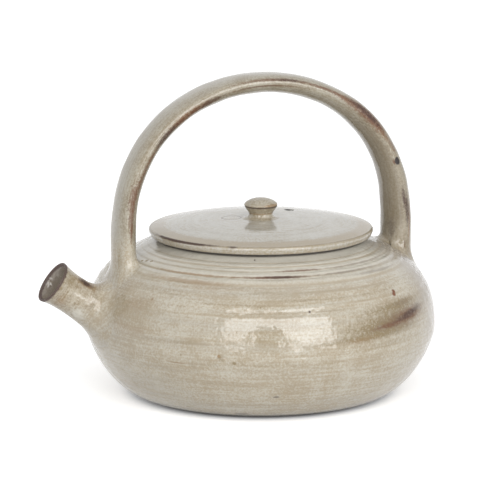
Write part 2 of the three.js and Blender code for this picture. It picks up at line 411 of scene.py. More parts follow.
class Board:
    """Adds and links the nodes of one tree."""

    def __init__(self, tree):
        self.tree = tree

    def add(self, kind, feeds=(), **settings):
        """A new node, whose inputs take values or the outputs of other nodes."""
        made = self.tree.nodes.new(kind)
        for label, value in settings.items():
            setattr(made, label, value)
        for socket, value in dict(feeds).items():
            if isinstance(value, bpy.types.NodeSocket):
                self.tree.links.new(value, made.inputs[socket])
            else:
                made.inputs[socket].default_value = value
        return made

    def math(self, operation, *values):
        return self.add("ShaderNodeMath", enumerate(values), operation=operation).outputs[0]

    def plus(self, first, *others):
        for other in others:
            first = self.math("ADD", first, other)
        return first

    def minus(self, first, second):
        return self.math("SUBTRACT", first, second)

    def times(self, first, second):
        return self.math("MULTIPLY", first, second)

    def over(self, first, second):
        return self.math("DIVIDE", first, second)

    def swing(self, value, gain):
        """How far a noise is from its middle, times a gain."""
        return self.times(self.minus(value, 0.5), gain)

    def vector(self, operation, *values):
        node = self.add("ShaderNodeVectorMath", enumerate(values), operation=operation)
        number = operation in ("LENGTH", "DOT_PRODUCT", "DISTANCE")
        return node.outputs["Value" if number else "Vector"]

    def scaled(self, vector, scale):
        feeds = {0: vector, "Scale": scale}
        return self.add("ShaderNodeVectorMath", feeds, operation="SCALE").outputs[0]

    def parts(self, vector):
        return self.add("ShaderNodeSeparateXYZ", {"Vector": vector}).outputs

    def joined(self, **parts):
        return self.add("ShaderNodeCombineXYZ", parts).outputs[0]

    def ramp(self, value, low, high, start=0.0, end=1.0):
        """Runs smoothly from start to end as the value goes from low to high."""
        feeds = enumerate((value, low, high, start, end))
        return self.add("ShaderNodeMapRange", feeds, interpolation_type="SMOOTHSTEP").outputs[0]

    def noise(self, vector, scale, detail=2.0, roughness=0.5, distortion=0.0):
        labels = ("Vector", "Scale", "Detail", "Roughness", "Distortion")
        feeds = zip(labels, (vector, scale, detail, roughness, distortion))
        return self.add("ShaderNodeTexNoise", feeds).outputs[0]

    def mix(self, factor, first, second):
        feeds = {0: factor, 6: first, 7: second}
        return self.add("ShaderNodeMix", feeds, data_type="RGBA").outputs[2]

    def surface(self, feeds):
        """Ends a material with its one surface."""
        shader = self.add("ShaderNodeBsdfPrincipled", feeds).outputs[0]
        self.add("ShaderNodeOutputMaterial", {"Surface": shader})

    def gives(self, **results):
        """Ends a group with what it gives."""
        self.add("NodeGroupOutput", results)
        return self.tree


FLOAT = "NodeSocketFloat"
WHOLE = "NodeSocketInt"
PLACE = "NodeSocketVector"
SHAPE = "NodeSocketGeometry"
THING = "NodeSocketObject"
FINISH = "NodeSocketMaterial"


def new_tree(name, kind, inputs, outputs):
    """An empty node group, with the names of its sockets listed by their kind."""
    tree = bpy.data.node_groups.new(name, kind)
    for direction, sockets in (("INPUT", inputs), ("OUTPUT", outputs)):
        for socket, labels in sockets.items():
            for label in labels:
                tree.interface.new_socket(label, in_out=direction, socket_type=socket)
    board = Board(tree)
    return board, board.add("NodeGroupInput").outputs


def dressed(board, shape, finish):
    """Ends a shape's tree: the shape is made real and takes its finish."""
    real = board.add("GeometryNodeRealizeInstances", {"Geometry": shape}).outputs[0]
    feeds = {"Geometry": real, "Material": finish}
    return board.gives(Shape=board.add("GeometryNodeSetMaterial", feeds).outputs[0])


def turning_tree():
    """Turns an outline about the upright axis and works fine throwing rings into it."""
    board, entry = new_tree("turned_on_the_wheel", "GeometryNodeTree", {
        SHAPE: ("Outline",),
        WHOLE: ("Facets",),
        FLOAT: ("Ring Depth", "Ring Spacing", "Ring Length", "Unevenness", "Lump Size", "Weld"),
        FINISH: ("Finish",),
    }, {SHAPE: ("Shape",)})
    outline = entry["Outline"]
    size = board.add("GeometryNodeAttributeDomainSize", {"Geometry": outline}, component="MESH")
    points = size.outputs["Point Count"]
    feeds = {"Vertices X": board.plus(entry["Facets"], 1), "Vertices Y": points}
    shape = board.add("GeometryNodeMeshGrid", feeds).outputs["Mesh"]
    index = board.add("GeometryNodeInputIndex").outputs[0]
    row = board.math("FLOORED_MODULO", index, points)
    column = board.math("FLOOR", board.over(index, points))
    angle = board.times(board.over(column, entry["Facets"]), math.tau)
    cosine, sine = board.math("COSINE", angle), board.math("SINE", angle)

    def outline_value(source, kind):
        feeds = {"Geometry": outline, "Value": source, "Index": row}
        return board.add("GeometryNodeSampleIndex", feeds, data_type=kind).outputs["Value"]

    def named(label):
        node = board.add("GeometryNodeInputNamedAttribute", {"Name": label}, data_type="FLOAT")
        return node.outputs["Attribute"]

    place = outline_value(board.add("GeometryNodeInputPosition").outputs[0], "FLOAT_VECTOR")
    run = outline_value(named("run"), "FLOAT")
    relief = outline_value(named("relief"), "FLOAT")
    parts = board.parts(place)
    around = board.scaled(board.joined(X=cosine, Y=sine), parts["X"])
    turned = board.vector("ADD", around, board.joined(Z=parts["Z"]))
    ring = board.noise(board.joined(
        X=board.over(cosine, entry["Ring Length"]),
        Y=board.over(sine, entry["Ring Length"]),
        Z=board.over(run, entry["Ring Spacing"]),
    ), 1.0, detail=3.0, roughness=0.55)
    for label, value in (("ridge", ring), ("relief", relief), ("run", run)):
        feeds = {"Geometry": shape, "Name": label, "Value": value}
        kind = {"data_type": "FLOAT", "domain": "POINT"}
        shape = board.add("GeometryNodeStoreNamedAttribute", feeds, **kind).outputs["Geometry"]
    placed = board.add("GeometryNodeSetPosition", {"Geometry": shape, "Position": turned})
    feeds = {"Geometry": placed.outputs[0], "Distance": entry["Weld"]}
    merged = board.add("GeometryNodeMergeByDistance", feeds).outputs[0]
    position = board.add("GeometryNodeInputPosition").outputs[0]
    lumps = board.noise(position, board.over(1.0, entry["Lump Size"]), detail=1.0)
    rings = board.swing(named("ridge"), entry["Ring Depth"])
    depth = board.times(board.plus(rings, board.swing(lumps, entry["Unevenness"])), named("relief"))
    push = board.scaled(board.add("GeometryNodeInputNormal").outputs[0], depth)
    marked = board.add("GeometryNodeSetPosition", {"Geometry": merged, "Offset": push})
    return dressed(board, marked.outputs[0], entry["Finish"])


def grown(name, source, tree, values):
    """Runs a tree on a source mesh and keeps the result as a plain piece."""
    carrier = keep(name + "_source", source)
    change = carrier.modifiers.new("shape", "NODES")
    change.node_group = tree
    for item in tree.interface.items_tree:
        if item.in_out == "INPUT" and item.name in values:
            change[item.identifier] = values[item.name]
    return evaluated(carrier, name)


def turned_piece(name, line, relief, facets, rings, finish):
    """A piece turned from an outline of (radius, height) rows, which starts and ends on the
    axis or closes on itself. Its rings have a spacing, a depth and an unevenness."""
    edges = [(index, index + 1) for index in range(len(line) - 1)]
    mesh = plain_mesh([(radius, 0, height) for radius, height in line], edges=edges)
    store(mesh, "run", "FLOAT", way_along(line))
    store(mesh, "relief", "FLOAT", relief)
    spacing, depth, unevenness = rings
    return grown(name, mesh, WHEEL, {
        "Facets": facets,
        "Ring Depth": depth,
        "Ring Spacing": spacing,
        "Ring Length": RING_LENGTH,
        "Unevenness": unevenness,
        "Lump Size": LUMP_SIZE,
        "Weld": WELD,
        "Finish": finish,
    })


def turned_ring(name, lines, finish):
    """A plain ring turned from an outline that closes on itself."""
    line = np.concatenate([np.array(part, float) for part in lines])
    line = np.concatenate([line, line[:1]])
    relief = np.full(len(line), PLAIN_RELIEF)
    return turned_piece(name, line, relief, LID_FACETS, PLAIN_RINGS, finish)


# Colours as they are seen in plain light

def shade(red, green, blue):
    """A colour given on the 0 to 255 scale of a screen, as scene light."""
    def linear(value):
        value /= 255
        return value / 12.92 if value <= 0.04045 else ((value + 0.055) / 1.055) ** 2.4
    return (linear(red), linear(green), linear(blue), 1.0)


PALE_ASH = shade(180, 174, 160)
GREY_ASH = shade(152, 147, 136)
TAN_ASH = shade(153, 140, 117)
OLIVE = shade(122, 106, 74)
OCHRE = shade(128, 99, 62)
RUST = shade(92, 57, 33)
FOX = shade(100, 54, 22)
BURNT = shade(110, 92, 64)
IRON = shade(56, 34, 24)
# Dark iron; also used as painted shadow under the lid's rim and round the vent
DARK_IRON_AND_SHADOW = shade(28, 19, 16)
# Dark bare clay at the base edge, darkened further as a painted contact shadow
BASE_CLAY_AND_SHADOW = shade(48, 45, 42)
SMOKE = shade(112, 102, 90)
# Painted reflection: the pale grey sheen of the handle's outer face
OUTER_SHEEN_GREY = shade(178, 175, 167)
# Pale slip tone, also used as painted light on the shoulder and a painted highlight low on the
# spout
SLIP_AND_PAINTED_LIGHT = shade(190, 186, 175)
LIP_BROWN = shade(66, 47, 40)
# Rear leg's tan glaze, also used as painted shade where less light falls
REAR_TAN_AND_SHADE = shade(124, 112, 92)
# Painted shade that darkens the pot's right side
RIGHT_SIDE_SHADE = shade(150, 142, 132)
BORE_GREY = shade(120, 110, 100)
RAW_CLAY = shade(132, 110, 87)


# Effects that several finishes share

SHADER = "ShaderNodeTree"

# How far the wheel draws out what is in the glaze
DRAWN_OUT = 4


def mottle_group():
    """Ash glaze: soft patches and wheel streaks that break up into fine ochre grain."""
    board, entry = new_tree("ash_mottle", SHADER, {
        PLACE: ("Place", "Streak Place"),
        FLOAT: ("Patch Size", "Streak Size", "Grain Size", "Cover"),
    }, {FLOAT: ("Tan", "Grey", "Grain")})
    place = entry["Place"]
    patch_scale = board.over(1.0, entry["Patch Size"])
    across = board.times(patch_scale, 0.3)
    squash = board.joined(X=across, Y=across, Z=board.over(1.0, entry["Streak Size"]))
    stretched = board.vector("MULTIPLY", entry["Streak Place"], squash)
    patches = board.noise(place, patch_scale, 4.0, 0.6, 0.4)
    streaks = board.noise(stretched, 1.0, 4.0, 0.65, 0.2)
    shadows = board.noise(board.vector("ADD", stretched, (7.3, 2.1, 5.7)), 0.7, 3.0, 0.6, 0.2)
    hairs = board.noise(board.vector("MULTIPLY", stretched, (2, 2, 3.4)), 1.0, 2.0, 0.6)
    grain = board.noise(place, board.over(1.0, entry["Grain Size"]), 3.0, 0.75)
    shares = ((patches, 1.7), (streaks, 1.0), (grain, 2.8), (hairs, 1.5))
    level = board.plus(entry["Cover"], *(board.swing(*share) for share in shares))
    grey = board.ramp(shadows, 0.45, 0.7)
    return board.gives(Tan=board.ramp(level, -0.6, 0.8), Grey=grey, Grain=grain)


def mark_group():
    """A soft-edged, ragged oval at a place: a fleck, a burn, a stretch of a line or a patch of
    painted shade.
    """
    board, entry = new_tree("fired_mark", SHADER, {
        PLACE: ("Place", "Centre", "Reach"),
        FLOAT: ("Rise", "Raggedness", "Rag Size", "Softness"),
    }, {FLOAT: ("Mask",)})
    away = board.vector("SUBTRACT", entry["Place"], entry["Centre"])
    risen = board.joined(Z=board.times(board.parts(away)["X"], entry["Rise"]))
    shares = board.vector("DIVIDE", board.vector("SUBTRACT", away, risen), entry["Reach"])
    rag = board.noise(entry["Place"], board.over(1.0, entry["Rag Size"]), 3.0, 0.65)
    far = board.plus(board.vector("LENGTH", shares), board.swing(rag, entry["Raggedness"]))
    inner = board.minus(1.0, entry["Softness"])
    return board.gives(Mask=board.ramp(far, inner, 1.0, 1.0, 0.0))


def speck_group():
    """Small iron specks scattered at random."""
    inputs = {PLACE: ("Place",), FLOAT: ("Spacing", "Size", "Share")}
    board, entry = new_tree("iron_specks", SHADER, inputs, {FLOAT: ("Mask",)})
    scale = board.over(1.0, entry["Spacing"])
    cells = board.add("ShaderNodeTexVoronoi", {"Vector": entry["Place"], "Scale": scale}).outputs
    away = board.times(cells["Distance"], entry["Spacing"])
    spot = board.ramp(away, board.times(entry["Size"], 0.4), entry["Size"], 1.0, 0.0)
    chance = board.add("ShaderNodeSeparateColor", {"Color": cells["Color"]}).outputs[0]
    return board.gives(Mask=board.times(spot, board.math("LESS_THAN", chance, entry["Share"])))


def wheel_place_group():
    """Places on a turned piece: unrolled at the belly's radius, squeezed along the rings so that
    what is laid there is drawn out by the wheel, and along the piece's outline."""
    inputs = {PLACE: ("Place",), FLOAT: ("Run",)}
    outputs = {PLACE: ("Unrolled", "Drawn", "Ringed")}
    board, entry = new_tree("wheel_place", SHADER, inputs, outputs)
    parts = board.parts(entry["Place"])
    angle = board.math("ARCTAN2", parts["Y"], parts["X"])
    unrolled = board.joined(X=board.times(angle, BELLY_RADIUS), Z=parts["Z"])
    drawn = board.vector("MULTIPLY", unrolled, (1 / DRAWN_OUT, 1, 1))
    ringed = board.joined(
        X=board.times(board.math("COSINE", angle), BELLY_RADIUS),
        Y=board.times(board.math("SINE", angle), BELLY_RADIUS),
        Z=entry["Run"],
    )
    return board.gives(Unrolled=unrolled, Drawn=drawn, Ringed=ringed)


def peel_group():
    """Height of the faint orange peel and the soft dents of a fired glaze."""
    inputs = {PLACE: ("Place",), FLOAT: ("Peel Size",)}
    board, entry = new_tree("orange_peel", SHADER, inputs, {FLOAT: ("Height",)})
    place = entry["Place"]
    scale = board.over(1.0, entry["Peel Size"])
    swell = board.times(board.noise(place, board.times(scale, 0.16)), 8.0)
    dents = board.times(board.noise(place, board.times(scale, 0.42), 1.0), 3.6)
    return board.gives(Height=board.plus(board.noise(place, scale, 2.0, 0.6), swell, dents))


MOTTLE = mottle_group()
MARK = mark_group()
SPECKS = speck_group()
WHEEL_PLACE = wheel_place_group()
PEEL = peel_group()

Ash = namedtuple("Ash", "pale tan patch_size streak_size cover")
Mark = namedtuple("Mark", "centre reach colour strength rag rag_size softness rise", defaults=(0,))


def on_wall(turn, height, wide, tall, colour, strength=1.0, rag=0.5, rag_size=0.002, soft=0.6,
            rise=0.0, drawn=1):
    """A mark on a turned piece, at a turn in degrees about the upright axis."""
    centre = (math.radians(turn) * BELLY_RADIUS / drawn, 0, height)
    reach = (wide / drawn, 1, tall)
    return Mark(centre, reach, colour, strength, rag, rag_size, soft, rise * drawn)


def on_ring(turn, height, wide, tall, colour, strength=1.0, rag=0.8, rag_size=0.0015, soft=0.8):
    """A mark that the wheel has drawn out along a ring."""
    return on_wall(turn, height, wide, tall, colour, strength, rag, rag_size, soft, 0, DRAWN_OUT)


def on_handle(along, out, back, long, thick, deep, colour, strength=1.0, rag=0.6,
              rag_size=0.0015, soft=0.7):
    """A mark on the handle: its way along the arch, out from its middle and back from its ridge."""
    return Mark((along, out, back), (long, thick, deep), colour, strength, rag, rag_size, soft)


def new_material(name):
    """An empty material, and the board of its tree."""
    material = bpy.data.materials.new(name)
    material.use_nodes = True
    material.node_tree.nodes.clear()
    return material, Board(material.node_tree)


class Glaze:
    """One piece's glaze: an ash colour, with marks laid over it in turn."""

    def __init__(self, name):
        self.material, self.board = new_material(name)
        self.place = self.board.add("ShaderNodeTexCoord").outputs["Object"]

    def group(self, tree, feeds):
        return self.board.add("ShaderNodeGroup", feeds, node_tree=tree).outputs

    def attribute(self, name, output="Fac"):
        return self.board.add("ShaderNodeAttribute", attribute_name=name).outputs[output]

    def ash(self, ash, streak_place):
        """The colour of bare ash glaze, and the grain that it breaks into."""
        mottle = self.group(MOTTLE, {
            "Place": self.place,
            "Streak Place": streak_place,
            "Patch Size": ash.patch_size,
            "Streak Size": ash.streak_size,
            "Grain Size": GRAIN_SIZE,
            "Cover": ash.cover,
        })
        colour = self.board.mix(mottle["Tan"], ash.pale, ash.tan)
        grey = self.board.times(mottle["Grey"], 0.3)
        return self.board.mix(grey, colour, GREY_ASH), mottle["Grain"]

    def lay(self, mask, colour, strength=1.0):
        """Covers the colour so far with another where the mask says."""
        self.colour = self.board.mix(self.board.times(mask, strength), self.colour, colour)

    def mask(self, mark, place):
        return self.group(MARK, {
            "Place": place,
            "Centre": mark.centre,
            "Reach": mark.reach,
            "Rise": mark.rise,
            "Raggedness": mark.rag,
            "Rag Size": mark.rag_size,
            "Softness": mark.softness,
        })["Mask"]

    def marks(self, marks, place, shown=1.0):
        for mark in marks:
            mask = self.board.times(self.mask(mark, place), shown)
            self.lay(mask, mark.colour, mark.strength)

    def grained(self, marks, place):
        """Marks through which the grain of the ash shows."""
        self.marks(marks, place, self.board.ramp(self.grain, 0.34, 0.54, 0.5, 1.0))

    def specks(self, spacing, size, colour, strength):
        feeds = {"Place": self.place, "Spacing": spacing, "Size": size, "Share": SPECK_SHARE}
        self.lay(self.group(SPECKS, feeds)["Mask"], colour, strength)

    def broken(self, mask, colour, strength=1.0):
        """Lays a colour that breaks into grain where its mask is faint."""
        level = self.board.plus(mask, self.board.times(self.grain, 1.4))
        shown = self.board.ramp(mask, 0.0, 0.25)
        self.lay(self.board.times(self.board.ramp(level, 0.95, 1.5), shown), colour, strength)

    def done(self, roughness=(0.08, 0.14), peel_size=0.0015, peel_strength=1.3, ior=1.58):
        """Sets up the fired surface, on which dark iron shines less than ash."""
        height = self.group(PEEL, {"Place": self.place, "Peel Size": peel_size})["Height"]
        feeds = {"Height": height, "Strength": peel_strength, "Distance": PEEL_DEPTH}
        bump = self.board.add("ShaderNodeBump", feeds).outputs[0]
        glossy = self.board.ramp(self.grain, 0.3, 0.7, *roughness)
        pale = self.board.add("ShaderNodeRGBToBW", {"Color": self.colour}).outputs[0]
        matte = self.board.ramp(pale, 0.02, 0.22, IRON_ROUGHNESS, 0.0)
        self.board.surface({
            "Base Color": self.colour,
            "Roughness": self.board.plus(glossy, matte),
            "Normal": bump,
            "IOR": ior,
        })
        return self.material


# Finishes

POT_ASH = Ash(PALE_ASH, TAN_ASH, 0.020, 0.0044, 0.10)
SPOUT_ASH = Ash(shade(170, 162, 145), shade(132, 116, 90), 0.009, 0.0030, 0.10)
HANDLE_ASH = Ash(shade(162, 156, 141), shade(132, 120, 99), 0.010, 0.0024, 0.10)
KNOB_ASH = Ash(shade(176, 169, 154), shade(136, 124, 101), 0.005, 0.0018, 0.10)
LID_ASH = Ash(shade(184, 182, 175), shade(162, 154, 138), 0.020, 0.0024, 0.0)

EVERY_TURN = 1.0
RING_LINES = [on_ring(*row) for row in (
    (-110, 0.0821, EVERY_TURN, 0.0004, TAN_ASH, 0.4),
    (-110, 0.0806, EVERY_TURN, 0.0005, TAN_ASH, 0.6),
    (-110, 0.0789, EVERY_TURN, 0.0006, OLIVE, 0.35),
    (-110, 0.0766, EVERY_TURN, 0.0007, OLIVE, 0.4),
    (-110, 0.0734, EVERY_TURN, 0.001, TAN_ASH, 0.6),
    (-92, 0.079, 0.024, 0.0006, RUST, 0.8, 1.6),
    (-78, 0.07, 0.05, 0.0009, TAN_ASH, 0.7, 1.4),
    (-84, 0.0668, 0.06, 0.0008, OLIVE, 0.35, 1.4),
    (-70, 0.064, 0.04, 0.0008, TAN_ASH, 0.7, 1.4),
    (-100, 0.0612, 0.06, 0.0008, OLIVE, 0.3, 1.4),
    (-140, 0.0767, 0.05, 0.0008, OCHRE, 0.6, 1.2),
    (-104, 0.0767, 0.036, 0.0008, RUST, 0.95, 1.2),
    (-101, 0.0767, 0.022, 0.0007, IRON, 0.9, 1.0),
    (-70, 0.0768, 0.04, 0.0007, SMOKE, 0.6, 1.2),
    (-138, 0.0738, 0.04, 0.0016, OCHRE, 0.45, 1.6),
    (-62, 0.079, 0.05, 0.0006, SMOKE, 0.5, 1.2),
    (-55, 0.075, 0.034, 0.0008, SMOKE, 0.5, 1.2),
)]
BURNS_AND_SIDE_SHADE = [on_wall(*row) for row in (
    # The first row is no burn but painted shade over the pot's right side
    (-18, 0.05, 0.052, 0.06, RIGHT_SIDE_SHADE, 0.9, 0.3, 0.01, 0.7),
    (-67, 0.05, 0.05, 0.01, OLIVE, 1.0, 1.2, 0.003, 1.0, 0.06),
    (-59, 0.0514, 0.034, 0.008, BURNT, 1.0, 1.3, 0.002, 1.0, 0.08),
    (-53, 0.0524, 0.024, 0.0055, RUST, 1.0, 1.1, 0.0018, 1.0, 0.08),
    (-50, 0.054, 0.015, 0.0012, IRON, 0.9, 0.8, 0.0014, 0.8, 0.07),
    (-52, 0.0528, 0.018, 0.0011, IRON, 0.9, 0.8, 0.0012, 0.8, 0.07),
    (-56, 0.0512, 0.018, 0.001, IRON, 0.8, 1.1, 0.0012, 0.8, 0.07),
    (-64, 0.0497, 0.016, 0.002, RUST, 0.85, 1.8, 0.001, 0.8, 0.06),
    (-46.5, 0.055, 0.006, 0.0026, SMOKE, 0.8, 1.4, 0.0014, 1.0, 0.1),
    (-59, 0.0586, 0.038, 0.0042, OLIVE, 0.95, 1.3, 0.0022, 1.0, 0.04),
    (-54, 0.059, 0.014, 0.0026, BURNT, 0.9, 1.2, 0.0014, 1.0, 0.04),
    (-70, 0.0456, 0.044, 0.003, OLIVE, 0.8, 1.2, 0.0022, 1.0, 0.04),
    (-76, 0.0447, 0.018, 0.0022, OCHRE, 0.45, 1.4, 0.0014, 1.0, 0.04),
    (-66, 0.0405, 0.034, 0.003, OLIVE, 0.4, 1.2, 0.0022, 1.0, 0.04),
)]
FLECKS = [on_wall(*row) for row in (
    (-113.1, 0.0834, 0.001, 0.0005, IRON, 0.8),
    (-123.2, 0.0391, 0.0012, 0.0012, OCHRE, 1.0),
    (-122.4, 0.0384, 0.0028, 0.0024, OLIVE, 0.5, 1.0, 0.0012),
    (-118.3, 0.0357, 0.0014, 0.0012, OLIVE, 0.9),
    (-93.5, 0.0614, 0.0009, 0.0008, IRON, 0.9),
    (-110.0, 0.064, 0.0007, 0.0009, OLIVE, 0.6),
    (-56.1, 0.0652, 0.0017, 0.0012, FOX, 1.0, 0.3, 0.001, 0.5),
    (-56.8, 0.0639, 0.0019, 0.0012, FOX, 1.0, 0.3, 0.001, 0.5),
    (-104.6, 0.0158, 0.0026, 0.0009, SMOKE, 0.9, 0.4),
    (-137.5, 0.0338, 0.0075, 0.0003, OCHRE, 0.8, 0.3),
    (-136.0, 0.0383, 0.0007, 0.0009, OLIVE, 0.6),
    (-150.5, 0.064, 0.0012, 0.0011, OCHRE, 0.6),
    (-117.6, 0.0038, 0.008, 0.0011, SMOKE, 0.7),
)]
TAN_AREAS = [on_ring(*row) for row in (
    (-158, 0.0575, 0.03, 0.016, TAN_ASH, 0.95, 1.4, 0.005, 1.0),
    (-157, 0.0605, 0.012, 0.005, OCHRE, 0.25, 1.6, 0.002, 1.0),
    (-158, 0.0478, 0.03, 0.004, OCHRE, 0.25, 1.6, 0.003, 1.0),
    (-138, 0.045, 0.03, 0.0026, OLIVE, 0.35, 1.4, 0.002, 1.0),
    (-128, 0.072, 0.04, 0.0022, OCHRE, 0.22, 1.6, 0.002, 1.0),
    (-105, 0.06, 0.06, 0.0024, TAN_ASH, 0.4, 1.4, 0.002, 1.0),
    (-100, 0.0446, 0.06, 0.0036, TAN_ASH, 0.5, 1.4, 0.002, 1.0),
    (-112, 0.035, 0.08, 0.006, OLIVE, 0.25, 1.4, 0.004, 1.0),
    (-112, 0.024, 0.08, 0.004, TAN_ASH, 0.4, 1.4, 0.004, 1.0),
)]
CRUMBS = ((-170.0, 0.0784, 0.0016), (-166.9, 0.0787, 0.0012), (-172.6, 0.0778, 0.0010))
HANDLE_IRON = [on_handle(*row) for row in (
    (0.083, -0.0011, 0.0, 0.026, 0.0036, 0.005, OCHRE, 0.85, 1.0),
    (0.084, -0.0012, 0.0, 0.024, 0.0033, 0.005, RUST, 0.95, 0.8),
    (0.066, -0.0012, 0.0, 0.014, 0.003, 0.005, IRON, 0.9, 0.7),
    (0.097, -0.0008, 0.0, 0.012, 0.0024, 0.005, IRON, 0.7, 1.0),
    (0.05, -0.0018, 0.0, 0.014, 0.002, 0.004, RUST, 0.85, 1.2, 0.001),
    (0.038, -0.0014, 0.0004, 0.01, 0.0018, 0.004, RUST, 0.8, 2.2, 0.0009),
    (0.028, 0.0002, 0.0004, 0.012, 0.0032, 0.004, RUST, 0.85, 2.8, 0.0008),
    (0.018, -0.0004, 0.0004, 0.014, 0.002, 0.004, RUST, 0.8, 2.4, 0.0009),
    (0.01, -0.001, 0.0, 0.008, 0.001, 0.004, RUST, 0.7, 1.6, 0.001),
    (0.134, 0.0029, 0.0018, 0.03, 0.001, 0.004, RUST, 0.85, 1.0),
    (0.142, 0.0028, 0.0018, 0.012, 0.001, 0.004, IRON, 0.85, 0.9),
    (0.128, -0.0002, 0.0, 0.03, 0.0007, 0.004, RUST, 0.75, 0.9),
    (0.162, 0.0026, 0.001, 0.016, 0.001, 0.004, RUST, 0.85, 1.3),
    (0.176, 0.0021, 0.0006, 0.014, 0.0016, 0.004, RUST, 0.9, 1.3, 0.001),
    (0.192, 0.0024, 0.0008, 0.024, 0.0034, 0.006, OCHRE, 0.7, 1.0),
    (0.192, 0.0024, 0.0009, 0.023, 0.0042, 0.006, RUST, 1.0, 0.9, 0.0013, 0.7),
    (0.19, 0.0028, 0.001, 0.018, 0.0024, 0.005, IRON, 0.9, 1.0),
    (0.2135, 0.003, 0.0012, 0.006, 0.0016, 0.004, RUST, 0.7, 1.6),
    (0.243, 0.0006, 0.0, 0.009, 0.0014, 0.004, IRON, 0.9, 1.4, 0.0012),
    (0.25, 0.0022, 0.0006, 0.013, 0.0018, 0.005, IRON, 0.9, 1.3, 0.0012),
    (0.264, 0.003, 0.001, 0.012, 0.001, 0.004, OCHRE, 0.8, 1.6, 0.0012),
    (0.269, 0.0, 0.0004, 0.003, 0.0008, 0.004, RUST, 0.8, 1.2, 0.001),
    (0.256, 0.004, 0.0012, 0.016, 0.0012, 0.005, RUST, 0.7, 1.4),
    (0.268, 0.0014, 0.0006, 0.012, 0.0045, 0.006, REAR_TAN_AND_SHADE, 0.8, 1.2, 0.002, 1.0),
    (0.26, -0.006, 0.005, 0.008, 0.003, 0.006, SMOKE, 0.7, 1.6, 0.002),
)]
CHIP = [on_handle(*row) for row in (
    (0.2218, 0.0, 0.0006, 0.002, 0.0014, 0.005, RUST, 0.85, 1.4, 0.0012),
    (0.2222, 0.0018, 0.0006, 0.0026, 0.002, 0.005, DARK_IRON_AND_SHADOW, 1.0, 0.5, 0.001, 0.35),
)]


def turned_glaze(name, ash):
    """Glaze of a piece made on the wheel, with its unrolled places for marks."""
    glaze = Glaze(name)
    places = glaze.group(WHEEL_PLACE, {"Place": glaze.place, "Run": glaze.attribute("run")})
    glaze.colour, glaze.grain = glaze.ash(ash, places["Ringed"])
    glaze.unrolled, glaze.drawn = places["Unrolled"], places["Drawn"]
    ridge = glaze.board.ramp(glaze.attribute("ridge"), 0.48, 0.75)
    glaze.broken(glaze.board.times(ridge, glaze.attribute("relief")), OLIVE, 0.3)
    return glaze


def band(glaze, low, high, soft, axis="Z"):
    """1 between two heights or radii, with soft edges."""
    board = glaze.board
    value = board.parts(glaze.place)["Z"]
    if axis == "R":
        value = board.vector("LENGTH", board.vector("MULTIPLY", glaze.place, (1, 1, 0)))
    rise = board.ramp(value, low - soft, low + soft)
    return board.times(rise, board.ramp(value, high - soft, high + soft, 1.0, 0.0))


def pot_glaze():
    glaze = turned_glaze("pot_glaze", POT_ASH)
    # Paler shoulder and mouth: slip tone and painted light on the upward-facing top
    glaze.lay(band(glaze, 0.074, 1, 0.006), SLIP_AND_PAINTED_LIGHT, 0.75)
    glaze.grained(TAN_AREAS, glaze.drawn)
    glaze.marks(RING_LINES, glaze.drawn)
    glaze.grained(BURNS_AND_SIDE_SHADE, glaze.unrolled)
    glaze.marks(FLECKS, glaze.unrolled)
    for turn, height, size in CRUMBS:
        place = spoke(math.radians(turn)) * wall_radius(height) + Vector((0, 0, height))
        glaze.marks([Mark(place, (size,) * 3, OLIVE, 1.0, 1.2, 0.001, 0.5)], glaze.place)
    glaze.specks(0.009, 0.00036, OCHRE, 0.6)
    # Base edge: dark bare clay and a painted contact shadow from the table
    glaze.lay(band(glaze, -1, 0.0028, 0.0010), BASE_CLAY_AND_SHADOW, 0.95)
    # Painted shadow of the gap under the lid, on the top of the mouth ring where the lid sits
    glaze.lay(band(glaze, LID_SEAT - 0.0014, 1, 0.0005), DARK_IRON_AND_SHADOW, 0.9)
    return glaze.done()


def handle_glaze():
    glaze = Glaze("handle_glaze")
    place = glaze.attribute("handle_place", "Vector")
    foot_colour, _ = glaze.ash(POT_ASH, place)
    glaze.colour, glaze.grain = glaze.ash(HANDLE_ASH, place)
    board = glaze.board
    parts = board.parts(place)
    along, out = parts["X"], parts["Y"]
    spout_side = board.ramp(along, 0.15, 0.21, 1.0, 0.25)
    # Painted reflection on the handle's outer face, weaker towards the rear leg
    glaze.lay(board.times(board.ramp(out, 0.0040, 0.0072), spout_side), OUTER_SHEEN_GREY, 0.85)
    rear = board.ramp(along, 0.165, 0.215)
    # Darker inner face of the rear leg: smoky glaze and painted shade, as that face turns from the
    # light
    glaze.broken(board.times(board.ramp(out, 0.002, -0.003), rear), SMOKE, 0.35)
    glaze.lay(band(glaze, -1, 0.088, 0.006), foot_colour)
    # Rear leg laid darker: tan glaze and painted shade where less light reaches it
    glaze.lay(rear, REAR_TAN_AND_SHADE, 0.4)
    glaze.grained(HANDLE_IRON, place)
    glaze.marks(CHIP, place)
    glaze.specks(0.006, 0.0004, OCHRE, 0.6)
    return glaze.done(roughness=(0.03, 0.09), peel_strength=0.5, ior=1.54)


